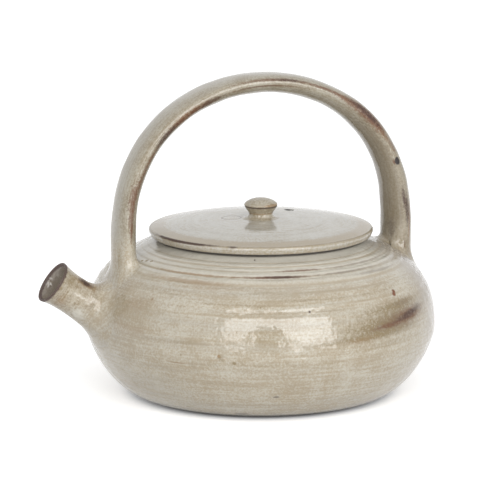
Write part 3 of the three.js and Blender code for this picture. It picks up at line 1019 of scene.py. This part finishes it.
def lid_glaze():
    glaze = turned_glaze("lid_glaze", LID_ASH)
    board = glaze.board
    edge = LID_SEAT + LID_EDGE_HEIGHT
    glaze.broken(band(glaze, 0.0525, 0.0606, 0.004, axis="R"), TAN_ASH, 0.7)
    glaze.lay(band(glaze, 0.0530, 0.0600, 0.003, axis="R"), TAN_ASH, 0.6)
    rim = band(glaze, LID_RADIUS - 0.0014, LID_RADIUS + 0.0005, 0.0003, axis="R")
    glaze.marks((
        on_ring(-110, edge - 0.0002, EVERY_TURN, 0.0012, OLIVE, 0.5, 1.0),
        on_ring(-155, edge - 0.0002, 0.046, 0.001, IRON, 0.95, 0.9, 0.002, 0.5),
        on_ring(-124, edge - 0.0002, 0.006, 0.001, IRON, 0.8, 0.8),
    ), glaze.drawn, rim)
    # Painted shadow of the gap along the lid's lower rim
    gap_shadow = on_ring(-110, LID_SEAT, EVERY_TURN, 0.0007, DARK_IRON_AND_SHADOW, 0.8, 0.3)
    glaze.marks([gap_shadow], glaze.drawn)
    # Dark iron round the vent, widened and shifted so that it also stands as painted shade inside
    # the hole
    middle = VENT * (1 - VENT_SHIFT / VENT_DISTANCE)
    wide = VENT_RADIUS * 1.28
    middle.z = LID_SEAT
    hole = Mark(middle, (wide, wide * 1.3, 1), DARK_IRON_AND_SHADOW, 1.0, 0.3, 0.001, 0.2)
    glaze.marks([hole], glaze.place)
    # Painted shade: a dark ring round the edge of the shallow thumb print
    flat = board.vector("MULTIPLY", glaze.place, (1, 1, 0))
    away = board.vector("DISTANCE", flat, (*LID_DIMPLE_PLACE, 0))
    off = board.math("ABSOLUTE", board.minus(away, LID_DIMPLE_RADIUS))
    glaze.broken(board.ramp(off, 0.0002, 0.0012, 0.8, 0.0), SMOKE, 0.9)
    glaze.specks(0.009, 0.0004, RUST, 0.5)
    return glaze.done(peel_strength=0.45)


def spout_glaze():
    glaze = Glaze("spout_glaze")
    place = glaze.attribute("spout_place", "Vector")
    glaze.colour, glaze.grain = glaze.ash(SPOUT_ASH, place)
    board = glaze.board
    inward = board.parts(place)["Z"]
    root_colour, _ = glaze.ash(POT_ASH, place)
    glaze.lay(board.ramp(inward, 0.020, 0.030), root_colour)
    bore = glaze.attribute("bore")
    glaze.marks((
        Mark((-0.005, 0.009, 0.015), (0.006, 0.0045, 0.01), OCHRE, 0.8, 1.2, 0.002, 1.0),
        Mark((-0.005, 0.0092, 0.0145), (0.0042, 0.003, 0.0065), IRON, 0.95, 1.0, 0.0015, 0.8),
        # Pale mark low on the spout: slip tone and part of a painted highlight
        Mark((-0.008, -0.007, 0.019), (0.01, 0.006, 0.008), SLIP_AND_PAINTED_LIGHT, 0.9, 1.4, 0.002, 1.0),
        Mark((-0.009, -0.006, 0.007), (0.01, 0.006, 0.005), OCHRE, 0.4, 1.8, 0.0016, 1.0),
        Mark((-0.008, 0.006, 0.006), (0.01, 0.005, 0.005), OLIVE, 0.5, 1.8, 0.0016, 1.0),
    ), place)
    glaze.lay(bore, BORE_GREY, 0.8)
    glaze.broken(board.times(bore, 0.3), PALE_ASH, 0.6)
    glaze.broken(board.ramp(inward, 0.0004, 0.0023, 1.0, 0.0), LIP_BROWN, 0.95)
    return glaze.done()


def knob_glaze():
    glaze = turned_glaze("knob_glaze", KNOB_ASH)
    base = lid_top(0)
    arris = base + KNOB_ARRIS_PLACE
    glaze.broken(band(glaze, base + KNOB_NECK_PLACE, arris + 0.001, 0.0006), TAN_ASH, 0.35)
    glaze.marks((
        on_ring(0, arris - 0.0003, EVERY_TURN, 0.0008, IRON, 0.85, 0.8),
        on_ring(-60, arris + 0.0008, 0.1, 0.001, OCHRE, 0.7, 1.2),
        on_ring(0, base + KNOB_NECK_PLACE + 0.0004, EVERY_TURN, 0.0004, OCHRE, 0.6),
    ), glaze.drawn)
    return glaze.done()


def raw_clay():
    glaze = Glaze("raw_clay")
    clay = Ash(RAW_CLAY, IRON, 0.006, 0.0016, -0.4)
    glaze.colour, glaze.grain = glaze.ash(clay, glaze.place)
    return glaze.done(roughness=(0.62, 0.85), peel_size=0.0006, peel_strength=0.5)


# Pieces of the pot

def make_pot_body(finish):
    """The thrown pot, with its cavity, its mouth and the hole behind the spout."""
    whole = pot_outline(0, 2000)
    belly = evenly(whole[whole[:, 1] < GROOVED_FROM], BELLY_ROWS)
    grooves = evenly(whole[whole[:, 1] >= GROOVED_FROM], GROOVE_ROWS)
    outside = grooved(np.concatenate([belly, grooves]))
    inside = evenly(pot_outline(-WALL, 800), INSIDE_ROWS)[::-1]
    inside = inside[inside[:, 1] > FLOOR_THICKNESS]
    mouth = COLLAR_RADIUS - LUTING
    foot = (BASE_RADIUS - FOOT_RING_WIDTH, 0)
    base = [
        (0, FOOT_RING_DEPTH),
        (foot[0] * 0.5, FOOT_RING_DEPTH),
        (foot[0] - FOOT_RING_DEPTH, FOOT_RING_DEPTH),
        foot,
        (BASE_RADIUS - BASE_EDGE, 0),
        (BASE_RADIUS + BASE_EDGE * 0.4, BASE_EDGE * 0.45),
    ]
    outside = outside[outside[:, 0] > mouth]
    outside = outside[(outside[:, 1] > BASE_EDGE) | (outside[:, 0] > BASE_RADIUS + 2 * BASE_EDGE)]
    inside = inside[inside[:, 0] > 0]
    brink = [(mouth, outside[-1, 1]), (mouth, inside[0, 1])]
    inside = inside[inside[:, 0] > mouth]
    floor = [(share * inside[-1, 0], FLOOR_THICKNESS) for share in (0.97, 0.9, 0.7, 0.4, 0)]
    line = np.concatenate([base, outside, brink, inside, floor])
    relief = np.zeros(len(line))
    start = len(base)
    relief[start:start + len(outside)] = np.interp(outside[:, 1], *zip(*POT_RELIEF))
    relief[start + len(outside) + len(brink) + 2:-len(floor)] = 1.0
    pot = turned_piece("thrown_pot", line, relief, POT_FACETS, POT_RINGS, finish)
    return cut(pot, spout_hole())


def spout_line():
    """The spout's root, its outward direction and the middle of its mouth."""
    outward = Vector((-math.cos(SPOUT_TILT), 0, math.sin(SPOUT_TILT)))
    root = Vector((-wall_radius(SPOUT_ROOT_HEIGHT), 0, SPOUT_ROOT_HEIGHT))
    return root, outward, root + outward * SPOUT_LENGTH


def spout_radius(distance):
    """Outside radius of the spout at a distance inward from its mouth."""
    if distance < SPOUT_WAIST_PLACE:
        share = 1 - distance / SPOUT_WAIST_PLACE
        return SPOUT_WAIST_RADIUS + (SPOUT_LIP_RADIUS - SPOUT_WAIST_RADIUS) * share**2
    whole = SPOUT_LENGTH + SPOUT_ROOT_DEPTH - SPOUT_WAIST_PLACE
    share = (distance - SPOUT_WAIST_PLACE) / whole
    return SPOUT_WAIST_RADIUS + (SPOUT_ROOT_RADIUS - SPOUT_WAIST_RADIUS) * share**SPOUT_FLARE


def spout_bore(distance):
    share = min(distance / SPOUT_WAIST_PLACE, 1)
    return spout_radius(distance) - SPOUT_LIP_WALL - (SPOUT_WALL - SPOUT_LIP_WALL) * share


def spout_hole():
    """The cutter for the hole behind the spout."""
    root, outward, _ = spout_line()
    radius = spout_bore(SPOUT_LENGTH) - WALL_HOLE_STEP
    return rod(radius, root + outward * 0.006, root - outward * 0.016, 64)


def walk_back(line, index, hit, distance):
    """The point a distance before a hit on a row of points, and what of the row is left."""
    here = hit
    for before in range(index, -1, -1):
        step = (line[before] - here).length
        if step >= distance:
            at = here + (line[before] - here) * (distance / step)
            return [*line[:before + 1], at]
        distance -= step
        here = line[before]
    return [line[0]]


def landed(line, centre, wall, reach, rows):
    """Ends a row of points that runs into the pot in a fillet that lands on its wall."""
    for index in range(len(line) - 1):
        ahead = line[index + 1] - line[index]
        hit, normal, _, _ = wall.ray_cast(line[index], ahead.normalized(), ahead.length)
        if hit is not None:
            break
    free = walk_back(line, index, hit, reach)
    outward = hit - centre
    outward = (outward - normal * outward.dot(normal)).normalized()
    landing, facing, _, _ = wall.find_nearest(hit + outward * reach)
    into = (hit - free[-1]).normalized()
    along = landing - hit
    along = (along - facing * along.dot(facing)).normalized()
    bend = reach * FILLET_ROUNDNESS
    corners = (free[-1], free[-1] + into * bend, landing - along * bend, landing)
    curve = bezier(corners, FILLET_ROWS)
    kept = evenly(rows_of(free), rows)
    tucked = np.array(landing) + np.array(along * TUCK * 0.3 - facing * TUCK)
    return np.concatenate([kept, curve[1:], [tucked]])


def make_spout(wall):
    """The spout, turned about its own axis and smeared onto the pot's wall."""
    root, outward, mouth = spout_line()
    side = Vector((0, 1, 0))
    up = side.cross(outward)
    depth = SPOUT_LENGTH + SPOUT_ROOT_DEPTH
    outside = SPOUT_LIP_WALL * 0.45 + np.linspace(0, 1, SPOUT_ROWS) * depth
    inner = SPOUT_LENGTH - LIP_DEPTH / 2
    inside = LIP_DEPTH + np.linspace(1, 0, BORE_ROWS, endpoint=False) * inner

    def point(distance, radius, angle):
        way = side * math.cos(angle) + up * math.sin(angle)
        return mouth - outward * distance + way * radius

    columns = []
    for index in range(SPOUT_SIDES):
        angle = index / SPOUT_SIDES * math.tau
        wobble = 1 + SPOUT_WOBBLE * noise.noise((spoke(angle) + Vector((0, 0, 0.3))) * 1.3)
        skin = [point(place, spout_radius(place) * wobble, angle) for place in outside]
        outer = landed(skin, root, wall, SPOUT_FILLET, 44)
        lip = bezier((
            point(LIP_DEPTH, spout_bore(LIP_DEPTH) * wobble, angle),
            point(-0.0006, (spout_bore(0) - 0.0001) * wobble, angle),
            point(-0.0007, (SPOUT_LIP_RADIUS + 0.0002) * wobble, angle),
            skin[0],
        ), 12)[:-1]
        bore = [point(place, spout_bore(place), angle) for place in inside]
        columns.append(np.concatenate([lip, outer, rows_of(bore)]))
    rings = np.array(columns).transpose(1, 0, 2)
    mesh = mesh_of(rings.reshape(-1, 3), skinned(rings, capped=False))
    places = []
    bores = []
    for vertex in mesh.vertices:
        away = vertex.co - mouth
        place = Vector((away.dot(side), away.dot(up), -away.dot(outward)))
        skin = spout_radius(max(place.z, 0)) - SPOUT_LIP_WALL * 0.6
        places.append(place)
        bores.append(float(place.xy.length < skin))
    store(mesh, "spout_place", "FLOAT_VECTOR", places)
    store(mesh, "bore", "FLOAT", bores)
    return keep("thrown_spout", mesh)


def make_collar(finish):
    """The ring at the mouth whose top is the lid's seat, with a fillet onto the shoulder."""
    top, low = collar_high.z, collar_low.z
    inner, outer = MOUTH_RADIUS, COLLAR_RADIUS
    edge, foot = COLLAR_TOP_RADIUS, COLLAR_FOOT_RADIUS
    lines = [
        [(inner, low + RING_SOFT)],
        rounded((inner, low), (inner, top), (outer, low), RING_SOFT, 5),
        [(outer - RING_SOFT, low), (outer - RING_SOFT, SHOULDER_HEIGHT - TUCK)],
        [(foot - RING_SOFT, shoulder_height(foot) - TUCK * 0.5)],
        bezier((
            (foot, shoulder_height(foot)),
            (foot - 0.002, shoulder_height(foot - 0.002)),
            (edge + 0.0003, shoulder_height(edge) + 0.0004),
            (edge, top - RING_SOFT * 0.5),
        ), 12),
        rounded((edge, top), (edge, low), (inner, top), RING_SOFT * 0.5, 5),
        [((inner + edge) / 2, top)],
        rounded((inner, top), (outer, top), (inner, low), RING_SOFT, 5),
        evenly(np.array([(inner, top - 2 * RING_SOFT), (inner, low + RING_SOFT)]), 8),
    ]
    return turned_ring("mouth_ring", lines, finish)


def arch_points():
    """Centre line of the arch from the springing over the spout to the one behind."""
    spring = ARCH_TOP - HANDLE_THICKNESS[1] / 2 - ARCH_RISE
    turn = np.linspace(0, math.pi, 4001)
    inset = np.where(turn < math.pi / 2, HANDLE_FRONT_INSET, HANDLE_REAR_INSET)
    across = np.sign(np.cos(turn)) * np.abs(np.cos(turn)) ** (2 / ARCH_SIDE_FULLNESS)
    up = np.abs(np.sin(turn)) ** (2 / ARCH_TOP_FULLNESS)
    line = np.stack([(inset - BELLY_RADIUS) * across, spring + ARCH_RISE * up], axis=1)
    return evenly(line, ARCH_STEPS + 1)


def along_handle(share, spout_side, top, rear):
    """A size that has given values at the spout side, the top and the rear."""
    straight = spout_side + (rear - spout_side) * share
    return straight + (top - (spout_side + rear) / 2) * math.sin(math.pi * share)


def make_handle(wall):
    """The arched handle, a soft-edged oval in section, with both feet smeared onto the pot."""
    line = arch_points()
    ahead = slopes(line)
    ahead[0] = (0, 1)
    ahead[-1] = (0, -1)
    length = way_along(line)[-1]
    rings = []
    places = []
    for step in range(ARCH_STEPS + 1):
        share = step / ARCH_STEPS
        thick = along_handle(share, *HANDLE_THICKNESS)
        width = along_handle(share, *HANDLE_WIDTH)
        centre = Vector((line[step, 0], 0, line[step, 1]))
        inward = Vector((ahead[step, 1], 0, -ahead[step, 0]))
        lift = EDGE_SHIFT * math.sin(math.pi * share)
        ring = []
        place = []
        for side in range(HANDLE_SIDES):
            turn = side / HANDLE_SIDES * math.tau
            flat = math.cos(turn) * abs(math.cos(turn)) ** EDGE_SHARPNESS
            out = lift * math.sin(turn) ** 2 - flat * thick / 2
            point = centre - inward * out
            point.y += math.sin(turn) * width / 2
            lump = noise.noise(point * COARSE) + 0.5 * noise.noise(point * FINE)
            point += (point - centre).normalized() * lump * HANDLE_LUMPS
            ring.append(point)
            place.append((share * length, out, (math.sin(turn) + 1) * width / 2))
        rings.append(ring)
        places.append(place)
    front, front_places = handle_foot(rings[0], places[0], wall, -1)
    rear, rear_places = handle_foot(rings[-1], places[-1], wall, 1)
    rings = np.concatenate([front[::-1], np.array(rings), rear])
    places = np.concatenate([front_places[::-1], np.array(places), rear_places])
    mesh = plain_mesh(rings.reshape(-1, 3), faces=skinned(rings, capped=True))
    store(mesh, "handle_place", "FLOAT_VECTOR", places)
    return keep("arched_handle", mesh)


def handle_foot(ring, place, wall, sense):
    """The rings that carry the handle's end section down onto the shoulder."""
    centre = sum(ring, Vector()) / len(ring)
    half = max(abs(point.x - centre.x) for point in ring)
    columns = []
    for point in ring:
        line = [point - Vector((0, 0, FOOT_DROP * step / 40)) for step in range(41)]
        outer = max(0, sense * (point.x - centre.x)) / half
        reach = HANDLE_FILLET + (HANDLE_OUTER_FILLET - HANDLE_FILLET) * outer
        columns.append(landed(line, Vector((centre.x, 0, point.z)), wall, reach, 12))
    rings = np.array(columns).transpose(1, 0, 2)[1:]
    places = np.repeat(np.array(place)[None], len(rings), axis=0)
    places[:, :, 0] += sense * (rows_of(ring)[None, :, 2] - rings[:, :, 2])
    return rings, places


# Pieces of the lid

def lid_top(radius):
    """Height of the lid's top at a radius."""
    share = radius / (LID_RADIUS - LID_RIDGE_INSET)
    return LID_SEAT + LID_EDGE_HEIGHT + LID_DOME * (1 - share**LID_DOME_FLATNESS)


def make_lid_plate(finish):
    """The lid's disc, with its soft rim ridge, the steam vent and a faint thumb print."""
    hollow = FLANGE_RADIUS - FLANGE_WALL
    across = np.linspace(0, 0.97, 20) * hollow
    under = [(radius, lid_top(radius) - LID_THICKNESS) for radius in across]
    rim = LID_RADIUS - 0.0008
    side = bezier((
        (rim - 0.0012, LID_SEAT),
        (rim, LID_SEAT),
        (rim, LID_SEAT + 0.0008),
        (LID_RADIUS, LID_SEAT + 0.0026),
    ), 14)
    inner = LID_RADIUS - LID_RIDGE_INSET
    arris = bezier((
        (LID_RADIUS, LID_SEAT + 0.0026),
        (LID_RADIUS + 0.0001, LID_SEAT + 0.0036),
        (LID_RADIUS - 0.0002, LID_SEAT + 0.0043),
        (inner, lid_top(inner)),
    ), 12)
    across = np.linspace(inner, 0, LID_ROWS)
    top = [(radius, lid_top(radius)) for radius in across]
    seat = [(hollow, LID_SEAT + 0.0004), (hollow + 0.001, LID_SEAT)]
    line = np.concatenate([under, seat, side, arris[1:], top])
    relief = np.zeros(len(line))
    relief[-len(top):] = np.interp(across, *zip(*LID_RELIEF))
    plate = turned_piece("lid_disc", line, relief, LID_FACETS, LID_RINGS, finish)
    for vertex in plate.data.vertices:
        if vertex.co.z < LID_SEAT + LID_EDGE_HEIGHT * 0.95:
            continue
        away = (vertex.co.xy - VENT.xy).length - VENT_RADIUS
        vertex.co.z -= VENT_DIP * math.exp(-((max(away, 0) / VENT_SOFTNESS) ** 2))
        edge = (vertex.co.xy - Vector(LID_DIMPLE_PLACE)).length - LID_DIMPLE_RADIUS
        vertex.co.z -= LID_DIMPLE_DEPTH * math.exp(-((edge / LID_DIMPLE_SOFTNESS) ** 2))
    tall = Vector((0, 0, 0.02))
    middle = VENT + Vector((0, 0, LID_SEAT))
    return cut(plate, rod(VENT_RADIUS, middle - tall, middle + tall, 40))


def make_lid_flange(finish):
    """The ring under the lid that keeps it in the mouth."""
    low, high = flange_low.z, LID_SEAT + 0.0003
    outer, inner = FLANGE_RADIUS, FLANGE_RADIUS - FLANGE_WALL
    lines = [
        rounded((inner, low), (inner, high), (outer, low), RING_SOFT, 5),
        rounded((outer, low), (inner, low), (outer, high), RING_SOFT, 5),
        evenly(np.array([(outer, low + 2 * RING_SOFT), (outer, high)]), 10),
        evenly(np.array([(inner, high), (inner, low + 2 * RING_SOFT)]), 10),
    ]
    return turned_ring("lid_ring", lines, finish)


def make_knob(finish):
    """The turned knob: a flat mushroom cap on a cone, with a fillet onto the lid."""
    base = lid_top(0)
    top = base + KNOB_HEIGHT
    skirt = lid_top(KNOB_SKIRT_RADIUS)
    neck = base + KNOB_NECK_PLACE
    arris = (KNOB_CAP_RADIUS - 0.0002, base + KNOB_ARRIS_PLACE)
    fillet = bezier((
        (KNOB_SKIRT_RADIUS, skirt),
        (KNOB_NECK_RADIUS + 0.0008, skirt + 0.0003),
        (KNOB_NECK_RADIUS, neck - 0.0012),
        (KNOB_NECK_RADIUS, neck),
    ), 16)
    cone = bezier((
        (KNOB_NECK_RADIUS, neck),
        (KNOB_NECK_RADIUS + 0.0001, neck + 0.0009),
        (arris[0] - 0.0008, arris[1] - 0.0020),
        arris,
    ), 14)
    dome = bezier((
        arris,
        (KNOB_CAP_RADIUS + 0.0005, arris[1] + 0.0012),
        (KNOB_CAP_RADIUS - 0.0030, top),
        (0, top),
    ), 30)
    foot = [(0, skirt - TUCK), (KNOB_SKIRT_RADIUS - 0.0006, skirt - TUCK)]
    line = np.concatenate([foot, fillet, cone[1:], dome[1:]])
    relief = np.interp(np.arange(len(line)), (0, 4, 30, len(line) - 1), (0, 0.4, 1, 0.6))
    return turned_piece("turned_knob", line, relief, KNOB_FACETS, KNOB_RINGS, finish)


# The pierced strainer

def piercing_tree():
    """Cuts a dome out of a ball and pierces it with rods set on rows of points."""
    board, entry = new_tree("pierced_dome", "GeometryNodeTree", {
        SHAPE: ("Hole Points",),
        FLOAT: ("Radius", "Wall", "Hole Radius"),
        PLACE: ("Middle",),
        THING: ("Cutter",),
        FINISH: ("Finish",),
    }, {SHAPE: ("Shape",)})
    wall = entry["Wall"]

    def ball(radius):
        feeds = {"Segments": 48, "Rings": 32, "Radius": radius}
        return board.add("GeometryNodeMeshUVSphere", feeds).outputs["Mesh"]

    def less(first, second):
        feeds = {"Mesh 1": first, "Mesh 2": second}
        kind = {"operation": "DIFFERENCE", "solver": "EXACT"}
        return board.add("GeometryNodeMeshBoolean", feeds, **kind).outputs["Mesh"]

    shell = less(ball(entry["Radius"]), ball(board.minus(entry["Radius"], wall)))
    feeds = {"Vertices": 20, "Radius": entry["Hole Radius"], "Depth": board.times(wall, 4.0)}
    stick = board.add("GeometryNodeMeshCylinder", feeds).outputs["Mesh"]
    place = board.add("GeometryNodeInputPosition").outputs[0]
    turn = board.add("FunctionNodeAlignRotationToVector", {"Vector": place}, axis="Z").outputs[0]
    feeds = {"Points": entry["Hole Points"], "Instance": stick, "Rotation": turn}
    sticks = board.add("GeometryNodeInstanceOnPoints", feeds).outputs[0]
    sticks = board.add("GeometryNodeRealizeInstances", {"Geometry": sticks}).outputs[0]
    feeds = {"Geometry": less(shell, sticks), "Translation": entry["Middle"]}
    moved = board.add("GeometryNodeTransform", feeds).outputs[0]
    outer = board.add("GeometryNodeObjectInfo", {"Object": entry["Cutter"]}).outputs["Geometry"]
    return dressed(board, less(moved, outer), entry["Finish"])


def make_strainer(finish):
    """The pierced dome that holds the leaves back behind the spout."""
    root, outward, _ = spout_line()
    middle = root - outward * (WALL / math.cos(SPOUT_TILT))
    radius = spout_bore(SPOUT_LENGTH) - WALL_HOLE_STEP + STRAINER_RIM
    points = []
    for holes, lean in STRAINER_ROWS:
        lean = math.radians(lean)
        for index in range(holes):
            across = spoke(index / holes * math.tau) * math.sin(lean)
            way = Vector((math.cos(lean), across.x, across.y))
            points.append(way * (radius - STRAINER_WALL / 2))
    ring = evenly(pot_outline(-WALL - LUTING, 800), 160)
    far = BELLY_RADIUS * 1.3
    ring = np.concatenate([ring, [(far, ring[-1, 1]), (far, ring[0, 1]), ring[0]]])[::-1]
    wall = turned_piece("wall_cutter", ring, np.zeros(len(ring)), POT_FACETS, NO_RINGS, finish)
    made = grown("pierced_strainer", plain_mesh(points), piercing_tree(), {
        "Radius": radius,
        "Wall": STRAINER_WALL,
        "Hole Radius": STRAINER_HOLE_RADIUS,
        "Middle": middle,
        "Cutter": wall,
        "Finish": finish,
    })
    bpy.data.objects.remove(wall)
    return made


# Studio

CAMERA_PLACE = (-0.6156, -1.6914, 0.4336)
CAMERA_AIM = (-0.0055, 0.0020, 0.0772)
CAMERA_LENS = 242.85
SENSOR_WIDTH = 36
CARD_GREY = shade(120, 116, 110)
MATTE = 0.9


def set_camera():
    data = bpy.data.cameras.new("camera")
    data.lens = CAMERA_LENS
    data.sensor_width = SENSOR_WIDTH
    data.clip_start = 0.05
    data.clip_end = 60
    camera = keep("camera", data)
    camera.location = CAMERA_PLACE
    look = Vector(CAMERA_AIM) - Vector(CAMERA_PLACE)
    camera.rotation_euler = look.to_track_quat("-Z", "Y").to_euler()
    bpy.context.scene.camera = camera


def seen_directly(board):
    """1 for camera, glossy and transmission rays, and 0 for the light that falls on things."""
    rays = board.add("ShaderNodeLightPath").outputs
    seen = board.math("MAXIMUM", rays["Is Camera Ray"], rays["Is Glossy Ray"])
    return board.math("MAXIMUM", seen, rays["Is Transmission Ray"])


def set_world(level, lean):
    """Soft light from all round, stronger on the side that it leans to. It is seen as white."""
    world = bpy.data.worlds.new("studio")
    bpy.context.scene.world = world
    world.use_nodes = True
    world.node_tree.nodes.clear()
    board = Board(world.node_tree)
    direction = board.add("ShaderNodeTexCoord").outputs["Generated"]
    light = board.plus(board.vector("DOT_PRODUCT", direction, lean), level)
    feeds = {"Factor": seen_directly(board), "A": light, "B": 1.0}
    strength = board.add("ShaderNodeMix", feeds, data_type="FLOAT").outputs["Result"]
    feeds = {"Color": (1, 1, 1, 1), "Strength": strength}
    shown = board.add("ShaderNodeBackground", feeds).outputs[0]
    board.add("ShaderNodeOutputWorld", {"Surface": shown})


def set_floor(white, lift, front):
    """A white table: its colour keeps the soft shadow, and the lift whitens what is seen of it
    further out than the shadow under the pot's base."""
    half = 8
    corners = [(-half, -front, 0), (half, -front, 0), (half, half, 0), (-half, half, 0)]
    table = keep("table", plain_mesh(corners, faces=[(0, 1, 2, 3)]))
    material, board = new_material("table_white")
    away = board.vector("LENGTH", board.add("ShaderNodeTexCoord").outputs["Object"])
    open_floor = board.ramp(away, BASE_RADIUS - 0.003, BASE_RADIUS + 0.015)
    seen = board.times(seen_directly(board), open_floor)
    board.surface({
        "Base Color": (white, white, white, 1),
        "Roughness": MATTE,
        "Specular IOR Level": 0.0,
        "Emission Color": (1, 1, 1, 1),
        "Emission Strength": board.times(seen, lift),
    })
    table.data.materials.append(material)


def heading(turn):
    """The level direction from the pot towards a turn in degrees, as a view has it."""
    return spoke(math.radians(turn - 90))


def window(left, right, distance, low, high, glow):
    """A tall soft window behind the camera, between two turns and two heights. Its glow is
    what a mirror would show of it, where white paper shows 1."""
    half = math.radians(right - left) / 2
    data = bpy.data.lights.new("window", "AREA")
    data.shape = "RECTANGLE"
    data.size = 2 * distance * math.tan(half)
    data.size_y = high - low
    data.energy = glow * math.pi * data.size * data.size_y
    lamp = keep("window", data)
    away = heading((left + right) / 2)
    lamp.location = away * distance + Vector((0, 0, (high + low) / 2))
    lamp.rotation_euler = (-away).to_track_quat("-Z", "Y").to_euler()


def grey_card(turn, distance, width, low, high, round_part):
    """A grey card with a round top, that leaves its shape in the glaze."""
    away = heading(turn)
    across = Vector((away.y, -away.x, 0))
    middle = away * distance
    half = width / 2
    sill = Vector((0, 0, low))
    edge = [middle - across * half + sill, middle + across * half + sill]
    for step in range(25):
        angle = step / 24 * math.pi
        rise = Vector((0, 0, high - round_part + round_part * math.sin(angle)))
        edge.append(middle + across * (half * math.cos(angle)) + rise)
    card = keep("card", plain_mesh(edge, faces=[tuple(range(len(edge)))]))
    card.visible_camera = False
    material, board = new_material("card_grey")
    board.surface({"Base Color": CARD_GREY, "Roughness": MATTE})
    card.data.materials.append(material)


set_camera()
set_world(level=0.36, lean=(-0.11, 0.02, 0.44))
set_floor(white=0.8, lift=0.5, front=0.75)
window(left=-44.5, right=-8.0, distance=3.0, low=-0.35, high=2.8, glow=3.7)
window(left=-8.0, right=29.0, distance=3.0, low=-0.35, high=2.8, glow=4.1)
grey_card(turn=-15.5, distance=2.1, width=0.92, low=-0.4, high=0.98, round_part=0.62)
bpy.context.scene.view_settings.view_transform = "Standard"

WHEEL = turning_tree()

pot_finish = pot_glaze()
clay = raw_clay()

pot = make_pot_body(pot_finish)
pot_wall = BVHTree.FromObject(pot, bpy.context.evaluated_depsgraph_get())

finished(pot, pot_finish, "pot", "pot_body")
finished(make_collar(pot_finish), pot_finish, "pot", "mouth_collar")
finished(make_spout(pot_wall), spout_glaze(), "pot", "spout")
finished(make_strainer(clay), clay, "pot", "spout_strainer", crease=35)
finished(make_handle(pot_wall), handle_glaze(), "pot", "handle")

lid_finish = lid_glaze()
finished(make_lid_plate(lid_finish), lid_finish, "lid", "lid_plate")
finished(make_lid_flange(lid_finish), lid_finish, "lid", "lid_flange")
finished(make_knob(lid_finish), knob_glaze(), "lid", "lid_knob")
